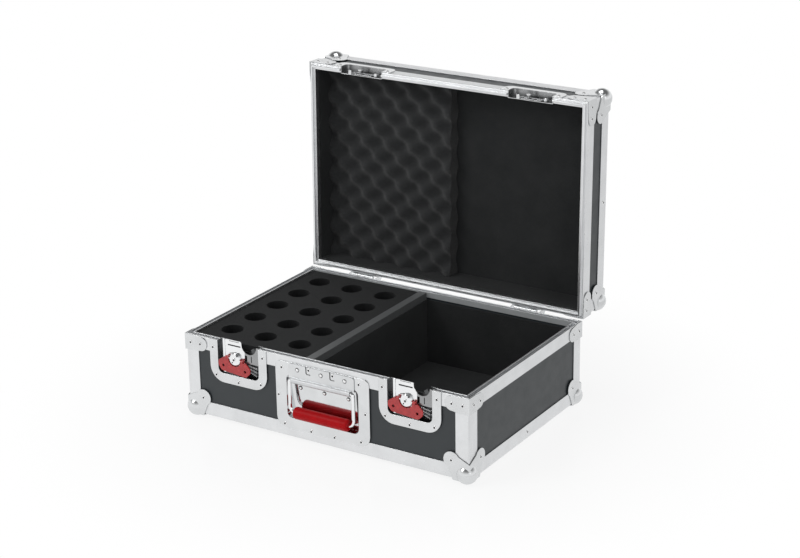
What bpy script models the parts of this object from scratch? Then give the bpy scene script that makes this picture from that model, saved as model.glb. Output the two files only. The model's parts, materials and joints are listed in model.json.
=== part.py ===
"""Microphone road case, standing open.

A panelled base and lid framed in aluminium extrusions, with ball corners, rim braces, two recessed
twist latches, a recessed sprung handle, stop hinges, a foam block with holes and a lined compartment.
Metres, +X to the right along the front, +Y to the back, +Z up, floor at z = 0.
The lid is built shut and then swung open on its hinge axis, where it rests on the hinge stops.
"""
import math

import bmesh
import bpy
from mathutils import Matrix, Vector

# Whole case
WIDTH = 0.518
DEPTH = 0.354
BASE_HEIGHT = 0.135
LID_HEIGHT = 0.073
LID_OPEN_ANGLE = math.radians(91.2)
CLEARANCE = 0.0003
OVERRUN = 0.005
TINY = 0.00005

# Panels and extrusions
PANEL_THICKNESS = 0.007
SKIN = 0.0013
EDGE_LEG = 0.0235
EDGE_CORNER_RADIUS = 0.003
RIM_LEG = 0.022
RIM_INNER_LEG = 0.010
RIM_CHAMFER = 0.0008
RIM_RIDGE = 0.0024
GROOVE_DEPTH = 0.005
TONGUE_WIDTH = 0.0034
TONGUE_HEIGHT = 0.0040

# Ball corners and rim braces: the shares are of the lid's height, where a ball and a brace meet
BALL_RADIUS = 0.0163
BALL_INSET = 0.0088
BALL_FLAT = 0.0005
PETAL_THICKNESS = 0.0012
PETAL_RADIUS_SHARE = 0.189
PETAL_REACH_SHARE = 0.411
PETAL_ROOT_SHARE = 0.3836
BRACE_THICKNESS = 0.0012
BRACE_DROP_SHARE = 0.37
BRACE_ROOT_SHARE = 0.24
BRACE_LOBE_RADIUS_SHARE = 0.1644
BRACE_LOBE_REACH_SHARE = 0.3973
BRACE_LOBE_DROP_SHARE = 0.185
BRACE_LOBE_END = math.radians(97.4)

# Latches: the dish and cover plate in the base, the turning cam with its claw, the folding wing
# and the keeper in the lid
LATCH_BRACE_GAP = 0.006
LATCH_REST_ANGLE = math.radians(5)
LATCH_FLANGE_WIDTH = 0.109
LATCH_FLANGE_DROP = 0.070
LATCH_FLANGE_RADIUS = 0.026
LATCH_MOUTH_WIDTH = 0.078
LATCH_MOUTH_DROP = 0.054
LATCH_MOUTH_RADIUS = 0.009
DISH_DEPTH = 0.0115
DISH_THICKNESS = 0.001
DISH_NOTCH_WIDTH = 0.062
DISH_NOTCH_DROP = 0.0135
DISH_NOTCH_RADIUS = 0.012
KEEPER_FLANGE_RISE = 0.027
KEEPER_FLANGE_RADIUS = 0.012
KEEPER_MOUTH_RISE = 0.0175
KEEPER_MOUTH_RADIUS = 0.005
CAM_OFFSET_X = -0.005
CAM_DROP = 0.0255
BOSS_RADIUS = 0.0104
BOSS_PROUD = 0.0045
BOSS_ROUNDING = 0.0015
CLAW_INNER_RADIUS = 0.0330
CLAW_OUTER_RADIUS = 0.0405
CLAW_FRONT = 0.0039
CLAW_THICKNESS = 0.003
CLAW_ROOT_RADIUS = 0.008
CLAW_TAIL_ANGLE = math.radians(-29)
CLAW_ARM_ANGLE = math.radians(-13)
CLAW_TIP_ANGLE = math.radians(40)
STUD_RADIUS = 0.0023
STUD_HEAD_RADIUS = 0.0040
STUD_HEAD_THICKNESS = 0.0015
STUD_RISE = 0.0045
STUD_FRONT = 0.0021
COVER_HALF_WIDTH = 0.020
COVER_FRONT = 0.0006
COVER_THICKNESS = 0.0012
COVER_RISE = 0.0045
COVER_SIDE_DROP = 0.004
COVER_CORNER_RADIUS = 0.002
COVER_SLOT_LEFT = 0.0145
COVER_SLOT_RIGHT = 0.0095
COVER_SLOT_DROP = 0.0048
COVER_SLOT_HEIGHT = 0.0016
COVER_NOTCH_X = 0.0205
COVER_NOTCH_RADIUS = 0.0140
COVER_ARM_DROP = 0.029
COVER_ARM_SLOT_LEFT = 0.0122
COVER_ARM_SLOT_RIGHT = 0.0167
COVER_ARM_SLOT_TOP = 0.0160
COVER_ARM_SLOT_BOTTOM = 0.0265
WING_PROUD = 0.0030
WING_THICKNESS = 0.0018
WING_HALF_WIDTH = 0.0305
WING_SHOULDER = 0.0165
WING_FOOT = 0.0235
WING_EAR_TOP = 0.0028
WING_SIDE_TOP = 0.0085
WING_SIDE_BOTTOM = 0.0160
WING_DROP = 0.0243
WING_CORNER_RADIUS = 0.003
WING_CUTOUT_RADIUS = 0.0119
WING_HOLE_RADIUS = 0.0024
WING_HOLE_X = 0.021
WING_HOLE_DROP = 0.0152
WING_BARREL_RADIUS = 0.0025
TRUNNION_RADIUS = 0.0012
TRUNNION_CLEARANCE = 0.0002

# Handle: its heights are drops from the rim, and its widths are shares of the room between the latches
# or of the width named before
HANDLE_FLANGE_BOTTOM = 0.0145
HANDLE_FLANGE_DROP = 0.009
HANDLE_FLANGE_RADIUS = 0.010
HANDLE_FLANGE_LOW_RADIUS = 0.018
HANDLE_SILL = 0.0185
HANDLE_DISH_RISE = 0.0068
HANDLE_MOUTH_DROP = 0.029
HANDLE_MOUTH_RADIUS = 0.009
HANDLE_AXIS_DROP = 0.0365
HANDLE_AXIS_PROUD = 0.0035
HANDLE_KNUCKLE_RADIUS = 0.0046
HANDLE_PLATE_DROP = 0.013
HANDLE_PLATE_THICKNESS = 0.0015
HANDLE_FLANGE_SHARE = 0.835
HANDLE_MOUTH_SHARE = 0.7674
HANDLE_PLATE_SHARE = 0.909
HANDLE_KNUCKLE_SHARE = 0.9
BAIL_SPAN_SHARE = 1.0834
BAIL_PIVOT_SHARE = 0.564
GRIP_LENGTH_SHARE = 0.846
BAIL_RADIUS = 0.003
BAIL_PIVOT_BEND = 0.004
BAIL_BEND_RADIUS = 0.010
BAIL_CLEARANCE = 0.0003
GRIP_RADIUS = 0.0097
GRIP_HEIGHT = 0.0023
GRIP_ROUNDING = 0.003
SPRING_WIRE_RADIUS = 0.0005
SPRING_RADIUS = 0.0022
SPRING_LENGTH_SHARE = 0.7576
SPRING_TURNS = 12

# Hinges
HINGE_END_DISTANCE = 0.102
HINGE_OFFSET = 0.0034
HINGE_DROP = 0.0006
HINGE_BARREL_RADIUS = 0.0029
HINGE_BARREL_LENGTH = 0.040
HINGE_NECK_DROP = 0.001
HINGE_CENTRE_LENGTH = 0.020
HINGE_JOINT_GAP = 0.0004
HINGE_PIN_RADIUS = 0.0014
HINGE_PIN_CLEARANCE = 0.0002
HINGE_LEAF_WIDTH = 0.056
HINGE_LEAF_HEIGHT = 0.0205
HINGE_LEAF_THICKNESS = 0.0015
HINGE_EAR_THICKNESS = 0.0015
HINGE_EAR_INSET = 0.0005
HINGE_EAR_REACH = 0.016
HINGE_EAR_TIP = 0.003
HINGE_STOP_CLEARANCE = 0.0003

# Interior
MIC_COLUMNS = 3
MIC_ROWS = 5
MIC_PITCH_X_SHARE = 0.3078
MIC_PITCH_Y_SHARE = 0.1857
MIC_HOLE_RADIUS = 0.018
FOAM_TOP_DROP = 0.003
FOAM_FLOOR = 0.008
DIVIDER_PLACE_SHARE = -0.058
DIVIDER_THICKNESS = 0.011
DIVIDER_DROP = 0.0015
EDGING_WALL = 0.0012
EDGING_LEG = 0.012
LINING_THICKNESS = 0.002
LID_FOAM_RIGHT_SHARE = -0.0154
LID_FOAM_BACKING = 0.014
EGG_HEIGHT = 0.014
EGG_PITCH = 0.023
EGG_EDGE_WAVE = 0.0035
EGG_STEPS_PER_PITCH = 2.5

# Roundness of the turned and drilled pieces
FINE_SEGMENTS = 32
ROUND_SEGMENTS = 20
SMALL_SEGMENTS = 12
ARC_STEPS = 5

# Places that follow from the sizes
FOOT_HEIGHT = BALL_RADIUS - BALL_INSET - BALL_FLAT
BASE_BOTTOM = FOOT_HEIGHT
RIM_Z = BASE_BOTTOM + BASE_HEIGHT
LID_RIM_Z = RIM_Z + CLEARANCE
LID_TOP = LID_RIM_Z + LID_HEIGHT
HALF_WIDTH = WIDTH / 2
FRONT_REACH = GRIP_RADIUS + HANDLE_AXIS_PROUD
LID_BALL_BACK = (LID_HEIGHT + CLEARANCE + HINGE_DROP - BALL_INSET) * math.sin(LID_OPEN_ANGLE)
LID_LEAN = (DEPTH + HINGE_OFFSET - BALL_INSET) * -math.cos(LID_OPEN_ANGLE)
BALL_FLAT_RADIUS = math.sqrt(2 * BALL_RADIUS * BALL_FLAT - BALL_FLAT ** 2)
LID_BALL_REACH = (BALL_RADIUS - BALL_FLAT) * math.sin(LID_OPEN_ANGLE)
LID_FLAT_LEAN = BALL_FLAT_RADIUS * -math.cos(LID_OPEN_ANGLE)
REAR_REACH = HINGE_OFFSET + LID_BALL_BACK + LID_LEAN + LID_BALL_REACH + LID_FLAT_LEAN
PLAN_Y = (FRONT_REACH - REAR_REACH) / 2
FRONT_Y = PLAN_Y - DEPTH / 2
BACK_Y = PLAN_Y + DEPTH / 2
PANEL_OUT = SKIN + CLEARANCE
PANEL_IN = PANEL_OUT + PANEL_THICKNESS
RIM_IN = PANEL_IN + CLEARANCE + SKIN
WALL_FREE = RIM_IN + CLEARANCE
DISH_FREE = DISH_DEPTH + CLEARANCE
HARDWARE_BACK = CLEARANCE
FLANGE_FRONT = CLEARANCE + DISH_THICKNESS
PETAL_RADIUS = LID_HEIGHT * PETAL_RADIUS_SHARE
PETAL_REACH = LID_HEIGHT * PETAL_REACH_SHARE
PETAL_ROOT = LID_HEIGHT * PETAL_ROOT_SHARE
BRACE_DROP = LID_HEIGHT * BRACE_DROP_SHARE
BRACE_ROOT = LID_HEIGHT * BRACE_ROOT_SHARE
BRACE_LOBE_RADIUS = LID_HEIGHT * BRACE_LOBE_RADIUS_SHARE
BRACE_LOBE_REACH = LID_HEIGHT * BRACE_LOBE_REACH_SHARE
BRACE_LOBE_DROP = LID_HEIGHT * BRACE_LOBE_DROP_SHARE
BRACE_REACH = BRACE_LOBE_REACH + BRACE_LOBE_RADIUS
LATCH_X = HALF_WIDTH - BRACE_REACH - LATCH_BRACE_GAP - LATCH_FLANGE_WIDTH / 2
HINGE_X = HALF_WIDTH - HINGE_END_DISTANCE
DIVIDER_X = WIDTH * DIVIDER_PLACE_SHARE
LID_FOAM_RIGHT = WIDTH * LID_FOAM_RIGHT_SHARE
HANDLE_FLANGE_WIDTH = (2 * LATCH_X - LATCH_FLANGE_WIDTH) * HANDLE_FLANGE_SHARE
HANDLE_FLANGE_HEIGHT = BASE_HEIGHT - HANDLE_FLANGE_BOTTOM - HANDLE_FLANGE_DROP
HANDLE_MOUTH_WIDTH = HANDLE_FLANGE_WIDTH * HANDLE_MOUTH_SHARE
HANDLE_MOUTH_BOTTOM = HANDLE_FLANGE_BOTTOM + HANDLE_SILL
HANDLE_MOUTH_TOP = BASE_HEIGHT - HANDLE_MOUTH_DROP
HANDLE_PLATE_WIDTH = HANDLE_MOUTH_WIDTH * HANDLE_PLATE_SHARE
HANDLE_PLATE_TOP = BASE_HEIGHT - HANDLE_PLATE_DROP
HANDLE_KNUCKLE_WIDTH = HANDLE_PLATE_WIDTH * HANDLE_KNUCKLE_SHARE
HANDLE_AXIS_HEIGHT = BASE_HEIGHT - HANDLE_AXIS_DROP
BAIL_HALF_SPAN = HANDLE_KNUCKLE_WIDTH * BAIL_SPAN_SHARE / 2
BAIL_PIVOT_END = BAIL_HALF_SPAN * BAIL_PIVOT_SHARE
BAIL_DROP = HANDLE_AXIS_HEIGHT - HANDLE_MOUTH_BOTTOM - GRIP_RADIUS - GRIP_HEIGHT
GRIP_LENGTH = 2 * BAIL_HALF_SPAN * GRIP_LENGTH_SHARE
SPRING_LENGTH = 2 * BAIL_PIVOT_END * SPRING_LENGTH_SHARE
HINGE_Y = BACK_Y + HINGE_OFFSET
HINGE_Z = RIM_Z - HINGE_DROP
CAM_Z = RIM_Z - CAM_DROP
FLOOR_Z = BASE_BOTTOM + PANEL_IN
CEILING_Z = LID_TOP - PANEL_IN

for leftover in list(bpy.data.objects):
    bpy.data.objects.remove(leftover, do_unlink=True)

case = bpy.data.collections.new("microphone_case")
cutters = bpy.data.collections.new("cutters")
bpy.context.scene.collection.children.link(case)
bpy.context.scene.collection.children.link(cutters)


def material(name, colour, metallic, roughness):
    """One Principled material."""
    made = bpy.data.materials.new(name)
    made.use_nodes = True
    shader = made.node_tree.nodes["Principled BSDF"]
    shader.inputs["Base Color"].default_value = (*colour, 1)
    shader.inputs["Metallic"].default_value = metallic
    shader.inputs["Roughness"].default_value = roughness
    made.diffuse_color = (*colour, 1)
    return made


COLOURS = {
    "laminate": ((0.055, 0.065, 0.068), 0, 0.45),
    "aluminium": ((0.80, 0.81, 0.82), 1, 0.32),
    "chrome": ((0.86, 0.87, 0.88), 1, 0.12),
    "steel": ((0.62, 0.63, 0.64), 1, 0.25),
    "red_plastic": ((0.62, 0.02, 0.03), 0, 0.4),
    "red_rubber": ((0.58, 0.0, 0.012), 0, 0.45),
    "foam": ((0.022, 0.023, 0.024), 0, 0.95),
    "lining": ((0.012, 0.012, 0.014), 0, 0.9),
    "edging": ((0.10, 0.105, 0.105), 0, 0.5),
}


def dress(thing, look):
    """Give an object its own material."""
    thing.data.materials.clear()
    thing.data.materials.append(material(f"{thing.name}_{look}", *COLOURS[look]))
    return thing


def empty(name, place):
    """A pivot on a joint's axis."""
    pivot = bpy.data.objects.new(name, None)
    pivot.location = place
    case.objects.link(pivot)
    return pivot


def hang(thing, pivot):
    """Parent a piece to a pivot and keep it where it is."""
    bpy.context.view_layer.update()
    thing.parent = pivot
    thing.matrix_parent_inverse = pivot.matrix_world.inverted()
    return thing


def put(name, mesh, collection=case):
    """Link a mesh as an object."""
    thing = bpy.data.objects.new(name, mesh)
    collection.objects.link(thing)
    if collection is cutters:
        thing.hide_render = True
        thing.display_type = "WIRE"
    return thing


def mesh_of(bm, name):
    """Turn a bmesh into a mesh with faces pointing out."""
    bmesh.ops.recalc_face_normals(bm, faces=bm.faces)
    mesh = bpy.data.meshes.new(name)
    bm.to_mesh(mesh)
    bm.free()
    return mesh


def box(name, low, high, collection=case):
    """A block between two corners."""
    low = Vector(low)
    high = Vector(high)
    bm = bmesh.new()
    bmesh.ops.create_cube(bm, size=1)
    place = Matrix.Translation((low + high) / 2) @ Matrix.Diagonal((*(high - low), 1))
    bmesh.ops.transform(bm, matrix=place, verts=bm.verts)
    return put(name, mesh_of(bm, name), collection)


TURN_TO = {
    "X": Matrix.Rotation(math.radians(90), 4, "Y"),
    "Y": Matrix.Rotation(math.radians(90), 4, "X"),
    "Z": Matrix.Identity(4),
}


def rod(name, centre, radius, length, axis, segments=ROUND_SEGMENTS, collection=case):
    """A cylinder along X, Y or Z."""
    bm = bmesh.new()
    bmesh.ops.create_cone(bm, cap_ends=True, segments=segments, radius1=radius, radius2=radius, depth=length)
    bmesh.ops.transform(bm, matrix=Matrix.Translation(centre) @ TURN_TO[axis], verts=bm.verts)
    return put(name, mesh_of(bm, name), collection)


def cutting_rod(name, centre, radius, length, axis, segments=SMALL_SEGMENTS):
    """A cylinder that is a tool for a Boolean."""
    return rod(name, centre, radius, length, axis, segments, cutters)


def frozen(thing):
    """The evaluated mesh of an object in world space."""
    bpy.context.view_layer.update()
    seen = thing.evaluated_get(bpy.context.evaluated_depsgraph_get())
    mesh = bpy.data.meshes.new_from_object(seen)
    mesh.transform(thing.matrix_world)
    return mesh


def combine(target, tools, operation):
    """Add Boolean modifiers, one for each tool object."""
    for tool in tools:
        modifier = target.modifiers.new(f"{operation.lower()}_{tool.name}", "BOOLEAN")
        modifier.operation = operation
        modifier.solver = "EXACT"
        modifier.object = tool
        if tool.name not in cutters.objects:
            for home in list(tool.users_collection):
                home.objects.unlink(tool)
            cutters.objects.link(tool)
            tool.hide_render = True
            tool.display_type = "WIRE"
    return target


def welded(mesh):
    """Join the loose caps of a converted curve and turn its faces out."""
    bm = bmesh.new()
    bm.from_mesh(mesh)
    bmesh.ops.remove_doubles(bm, verts=bm.verts, dist=TINY / 5)
    bmesh.ops.recalc_face_normals(bm, faces=bm.faces)
    bm.to_mesh(mesh)
    bm.free()
    return mesh


LAY_ON = {
    "XZ": Matrix.Rotation(math.radians(90), 4, "X"),
    "XY": Matrix.Identity(4),
    "YZ": Matrix.Rotation(math.radians(90), 4, "Z") @ Matrix.Rotation(math.radians(90), 4, "X"),
}


def plate(name, loops, near, far, plane="XZ", collection=case):
    """A flat outline, with holes if it has more loops, filled between two levels across its plane.

    Loops on XZ are (x, z) points with the levels along Y, loops on YZ are (y, z) points with the levels
    along X, and loops on XY are (x, y) points with the levels along Z.
    """
    curve = bpy.data.curves.new(name, "CURVE")
    curve.dimensions = "2D"
    curve.fill_mode = "BOTH"
    curve.extrude = abs(far - near) / 2
    for loop in loops:
        spline = curve.splines.new("POLY")
        spline.points.add(len(loop) - 1)
        for point, (across, up) in zip(spline.points, loop):
            point.co = (across, up, 0, 1)
        spline.use_cyclic_u = True
    flat = bpy.data.objects.new(f"{name}_outline", curve)
    case.objects.link(flat)
    level = (near + far) / 2
    shift = {"XZ": (0, level, 0), "XY": (0, 0, level), "YZ": (level, 0, 0)}[plane]
    flat.matrix_world = Matrix.Translation(shift) @ LAY_ON[plane]
    mesh = welded(frozen(flat))
    bpy.data.objects.remove(flat, do_unlink=True)
    return put(name, mesh, collection)


def fillet(points, radii, steps=ARC_STEPS):
    """Round the corners of an outline; one radius for all of them or one for each."""
    count = len(points)
    if not isinstance(radii, (list, tuple)):
        radii = [radii] * count
    outline = []
    for index in range(count):
        corner = Vector(points[index])
        before = (Vector(points[index - 1]) - corner).normalized()
        after = (Vector(points[(index + 1) % count]) - corner).normalized()
        radius = radii[index]
        half = before.angle(after) / 2
        if radius <= 0 or half > math.radians(89):
            outline.append(tuple(corner))
            continue
        centre = corner + (before + after).normalized() * radius / math.sin(half)
        first = corner + before * radius / math.tan(half) - centre
        last = corner + after * radius / math.tan(half) - centre
        turn = first.angle_signed(last)
        for step in range(steps + 1):
            angle = -turn * step / steps
            spoke = Vector((
                first.x * math.cos(angle) - first.y * math.sin(angle),
                first.x * math.sin(angle) + first.y * math.cos(angle),
            ))
            outline.append(tuple(centre + spoke))
    return outline


def rectangle(left, bottom, right, top):
    """Corner points, counter-clockwise from the lower left."""
    return [(left, bottom), (right, bottom), (right, top), (left, top)]


def arc(centre, radius, start, end, steps):
    """Points along an arc."""
    return [
        (
            centre[0] + radius * math.cos(start + (end - start) * step / steps),
            centre[1] + radius * math.sin(start + (end - start) * step / steps),
        )
        for step in range(steps + 1)
    ]


def circle(centre, radius, segments):
    """A closed round loop."""
    return arc(centre, radius, 0, math.tau, segments)[:-1]


def turned(name, profile, centre, axis, segments=FINE_SEGMENTS):
    """A turned piece: (radius, height) points from its top down the outer side, swept by a Screw."""
    bm = bmesh.new()
    verts = [bm.verts.new((radius, 0, height)) for radius, height in profile]
    for first, second in zip(verts, verts[1:]):
        bm.edges.new((first, second))
    if profile[0][0] > 0 and profile[-1][0] > 0:
        bm.edges.new((verts[-1], verts[0]))
    mesh = bpy.data.meshes.new(name)
    bm.to_mesh(mesh)
    bm.free()
    thing = put(name, mesh)
    screw = thing.modifiers.new("turn", "SCREW")
    screw.steps = segments
    screw.render_steps = segments
    screw.use_merge_vertices = True
    screw.merge_threshold = TINY / 5
    screw.use_smooth_shade = True
    solid = welded(frozen(thing))
    solid.transform(Matrix.Translation(centre) @ TURN_TO[axis])
    bpy.data.objects.remove(thing, do_unlink=True)
    return put(name, solid)


def mitred_frame(name, profile, outer_z, up, collection=case):
    """A profile swept round the case's plan with mitred corners.

    Profile points are (inward from the outer faces, height from outer_z in the direction up).
    """
    bm = bmesh.new()
    sections = []
    for side_x, side_y in ((-1, -1), (1, -1), (1, 1), (-1, 1)):
        sections.append([
            bm.verts.new((
                side_x * (HALF_WIDTH - inward),
                PLAN_Y + side_y * (DEPTH / 2 - inward),
                outer_z + up * height,
            ))
            for inward, height in profile
        ])
    count = len(profile)
    for index, section in enumerate(sections):
        following = sections[(index + 1) % len(sections)]
        for point in range(count):
            after = (point + 1) % count
            bm.faces.new((section[point], section[after], following[after], following[point]))
    return put(name, mesh_of(bm, name), collection)


def smooth(thing, angle=math.radians(35)):
    """Shade a round piece smooth with sharp edges kept."""
    thing.data.shade_smooth()
    thing.data.set_sharp_from_angle(angle=angle)
    return thing


def settle(thing, look, pivot=None):
    """Freeze a piece's modifiers into its mesh, dress it and hang it on its pivot."""
    mesh = frozen(thing)
    thing.modifiers.clear()
    thing.data = mesh
    smooth(thing)
    dress(thing, look)
    if pivot is not None:
        hang(thing, pivot)
    return thing


def panel(name, low, high, pivot=None, cuts=()):
    """A laminated board, with any cut-outs."""
    board = box(name, low, high)
    combine(board, cuts, "DIFFERENCE")
    return settle(board, "laminate", pivot)


lid_pivot = empty("lid_pivot", (0, HINGE_Y, HINGE_Z))


# Extrusions

def edge_profile():
    """The plain angle along the outer edges: legs along the wall and under the floor, rounded outside."""
    corner = [(EDGE_LEG, 0), (0, 0), (0, EDGE_LEG), (SKIN, EDGE_LEG), (SKIN, SKIN), (EDGE_LEG, SKIN)]
    return fillet(corner, [0, EDGE_CORNER_RADIUS, 0, 0, 0, 0], 3)


def rim_profile(tongue):
    """The hybrid rim: a groove in the base or a tongue in the lid; height 0 is the parting plane.

    Heights grow away from the parting plane, into the half that the rim is on.
    """
    groove_in = RIM_IN - RIM_RIDGE
    legs_in = [
        (RIM_IN, 0),
        (RIM_IN, RIM_INNER_LEG),
        (RIM_IN - SKIN, RIM_INNER_LEG),
    ]
    legs_out = [
        (SKIN, RIM_LEG),
        (0, RIM_LEG),
        (0, RIM_CHAMFER),
        (RIM_CHAMFER, 0),
    ]
    if tongue:
        middle = (RIM_RIDGE + groove_in) / 2
        face = [
            (middle - TONGUE_WIDTH / 2, 0),
            (middle - TONGUE_WIDTH / 2, -TONGUE_HEIGHT),
            (middle + TONGUE_WIDTH / 2, -TONGUE_HEIGHT),
            (middle + TONGUE_WIDTH / 2, 0),
        ]
        web = SKIN
    else:
        face = [(RIM_RIDGE, 0), (RIM_RIDGE, GROOVE_DEPTH), (groove_in, GROOVE_DEPTH), (groove_in, 0)]
        web = GROOVE_DEPTH + SKIN
    return legs_out + face + legs_in + [(RIM_IN - SKIN, web), (SKIN, web)]


BASE_PANEL_TOP = RIM_Z - GROOVE_DEPTH - SKIN - CLEARANCE
LID_PANEL_BOTTOM = LID_RIM_Z + SKIN + CLEARANCE


def post(name, side_x, side_y, low, high):
    """A vertical corner angle of a frame, drawn in plan."""
    outer_x = side_x * HALF_WIDTH
    outer_y = PLAN_Y + side_y * DEPTH / 2
    corner = [(0, 0), (EDGE_LEG, 0), (EDGE_LEG, SKIN), (SKIN, SKIN), (SKIN, EDGE_LEG), (0, EDGE_LEG)]
    rounded = fillet(corner, [EDGE_CORNER_RADIUS, 0, 0, 0, 0, 0], 3)
    loop = [(outer_x - side_x * across, outer_y - side_y * along) for across, along in rounded]
    return plate(name, [loop], low, high, "XY", cutters)


def edge_frame(name, outer_z, up, height, pivot=None):
    """The edge extrusions of one half with its four corner posts, which stop under the rim."""
    frame = mitred_frame(name, edge_profile(), outer_z, up)
    ends = sorted((outer_z + up * (EDGE_LEG - OVERRUN), outer_z + up * (height - RIM_LEG - CLEARANCE)))
    posts = [
        post(f"{name}_post_{side_x}_{side_y}", side_x, side_y, *ends)
        for side_x in (-1, 1)
        for side_y in (-1, 1)
    ]
    combine(frame, posts, "UNION")
    return settle(frame, "aluminium", pivot)


def latch_gap_box(name, left, right, low, high):
    """A cutter through the front wall between two places along it."""
    return box(name, (left, FRONT_Y - OVERRUN, low), (right, FRONT_Y + RIM_IN + OVERRUN, high), cutters)


def rims(prefix, outer_z, up, tongue, pivot=None):
    """A rim frame cut away at both latches, and the short front length between them."""
    clear_half = LATCH_MOUTH_WIDTH / 2 + DISH_THICKNESS + CLEARANCE
    low, high = sorted((outer_z - up * (TONGUE_HEIGHT + OVERRUN), outer_z + up * (RIM_LEG + OVERRUN)))
    whole = mitred_frame(f"{prefix}_rim", rim_profile(tongue), outer_z, up)
    reach = LATCH_X + clear_half
    combine(whole, [latch_gap_box(f"{prefix}_rim_gap", -reach, reach, low, high)], "DIFFERENCE")
    settle(whole, "aluminium", pivot)
    front = mitred_frame(f"{prefix}_rim_front", rim_profile(tongue), outer_z, up)
    reach = LATCH_X - clear_half
    combine(front, [latch_gap_box(f"{prefix}_rim_keep", -reach, reach, low, high)], "INTERSECT")
    settle(front, "aluminium", pivot)


# Dishes pressed from sheet: a flange on the case's face and a pan behind it

def lean(thing, low, high, rise):
    """Leans the back of a pan or a hollow forwards, by nothing at one height and by a rise at another."""
    for vertex in thing.data.vertices:
        if vertex.co.y > FRONT_Y + DISH_DEPTH / 2:
            vertex.co.y -= rise * (vertex.co.z - low) / (high - low)


def dish(name, flange, mouth_outer, mouth_inner, rise=0):
    """A pressed dish: flange outline, pan outline and the hollow's outline, all on XZ.

    Its back is nearer to the front at the top by the rise.
    """
    low = min(up for across, up in mouth_outer)
    high = max(up for across, up in mouth_outer)
    sheet = plate(name, [flange], FRONT_Y - FLANGE_FRONT, FRONT_Y - HARDWARE_BACK)
    middle = FRONT_Y - (FLANGE_FRONT + HARDWARE_BACK) / 2
    pan = plate(f"{name}_pan", [mouth_outer], middle, FRONT_Y + DISH_DEPTH, "XZ", cutters)
    lean(pan, low, high, rise)
    combine(sheet, [pan], "UNION")
    hollow_ends = (FRONT_Y - FLANGE_FRONT - OVERRUN, FRONT_Y + DISH_DEPTH - DISH_THICKNESS)
    hollow = plate(f"{name}_hollow", [mouth_inner], *hollow_ends, "XZ", cutters)
    lean(hollow, low, high, rise)
    combine(sheet, [hollow], "DIFFERENCE")
    return sheet


def grown(half_width, bottom, top, radius, amount, x=0, open_end=None):
    """A rounded mouth outline, larger by an amount on its closed sides.

    An open end keeps its level: its corners are square.
    """
    low = bottom if open_end == "bottom" else bottom - amount
    high = top if open_end == "top" else top + amount
    side = half_width + amount
    points = rectangle(x - side, low, x + side, high)
    round_low = 0 if open_end == "bottom" else radius + amount
    round_high = 0 if open_end == "top" else radius + amount
    return fillet(points, [round_low, round_low, round_high, round_high])


def latch_mouth(x, amount, extra_top=0):
    """The opening of a latch dish, open at the rim."""
    half = LATCH_MOUTH_WIDTH / 2
    bottom = RIM_Z - LATCH_MOUTH_DROP
    return grown(half, bottom, RIM_Z + extra_top, LATCH_MOUTH_RADIUS, amount, x, "top")


def latch_dish(side, x):
    """The dish that holds the latch in the base's front."""
    half = LATCH_FLANGE_WIDTH / 2
    corners = rectangle(x - half, RIM_Z - LATCH_FLANGE_DROP, x + half, RIM_Z)
    flange = fillet(corners, [LATCH_FLANGE_RADIUS, LATCH_FLANGE_RADIUS, 0, 0], 2 * ARC_STEPS)
    sheet = dish(f"latch_dish_{side}", flange, latch_mouth(x, DISH_THICKNESS), latch_mouth(x, 0, OVERRUN))
    half = DISH_NOTCH_WIDTH / 2
    notch = rectangle(x - half, RIM_Z - DISH_NOTCH_DROP, x + half, RIM_Z + OVERRUN)
    notch = fillet(notch, [DISH_NOTCH_RADIUS, DISH_NOTCH_RADIUS, 0, 0])
    levels = (FRONT_Y + DISH_DEPTH - 2 * DISH_THICKNESS, FRONT_Y + DISH_DEPTH + OVERRUN)
    combine(sheet, [plate(f"dish_notch_{side}", [notch], *levels, "XZ", cutters)], "DIFFERENCE")
    return settle(sheet, "aluminium")


def keeper_mouth(x, amount, extra_bottom=0):
    """The opening of a keeper dish, open at the lid's rim."""
    half = LATCH_MOUTH_WIDTH / 2
    top = LID_RIM_Z + KEEPER_MOUTH_RISE
    return grown(half, LID_RIM_Z - extra_bottom, top, KEEPER_MOUTH_RADIUS, amount, x, "bottom")


def keeper(side, x):
    """The keeper dish in the lid's front with the headed stud that the claw hooks over."""
    half = LATCH_FLANGE_WIDTH / 2
    corners = rectangle(x - half, LID_RIM_Z, x + half, LID_RIM_Z + KEEPER_FLANGE_RISE)
    flange = fillet(corners, [0, 0, KEEPER_FLANGE_RADIUS, KEEPER_FLANGE_RADIUS])
    sheet = dish(f"keeper_{side}", flange, keeper_mouth(x, DISH_THICKNESS), keeper_mouth(x, 0, OVERRUN))
    stud_x = x + CAM_OFFSET_X
    stud_z = LID_RIM_Z + STUD_RISE
    floor = DISH_DEPTH - DISH_THICKNESS / 2
    middle = (stud_x, FRONT_Y + (STUD_FRONT + floor) / 2, stud_z)
    shank = cutting_rod(f"keeper_{side}_stud", middle, STUD_RADIUS, floor - STUD_FRONT, "Y")
    middle = (stud_x, FRONT_Y + STUD_FRONT + STUD_HEAD_THICKNESS / 2, stud_z)
    thickness = STUD_HEAD_THICKNESS
    head = cutting_rod(f"keeper_{side}_head", middle, STUD_HEAD_RADIUS, thickness, "Y", ROUND_SEGMENTS)
    combine(sheet, [shank, head], "UNION")
    return settle(sheet, "aluminium", lid_pivot)


def handle_mouth(amount):
    """The opening of the handle dish."""
    bottom = BASE_BOTTOM + HANDLE_MOUTH_BOTTOM
    top = BASE_BOTTOM + HANDLE_MOUTH_TOP
    return grown(HANDLE_MOUTH_WIDTH / 2, bottom, top, HANDLE_MOUTH_RADIUS, amount)


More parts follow.
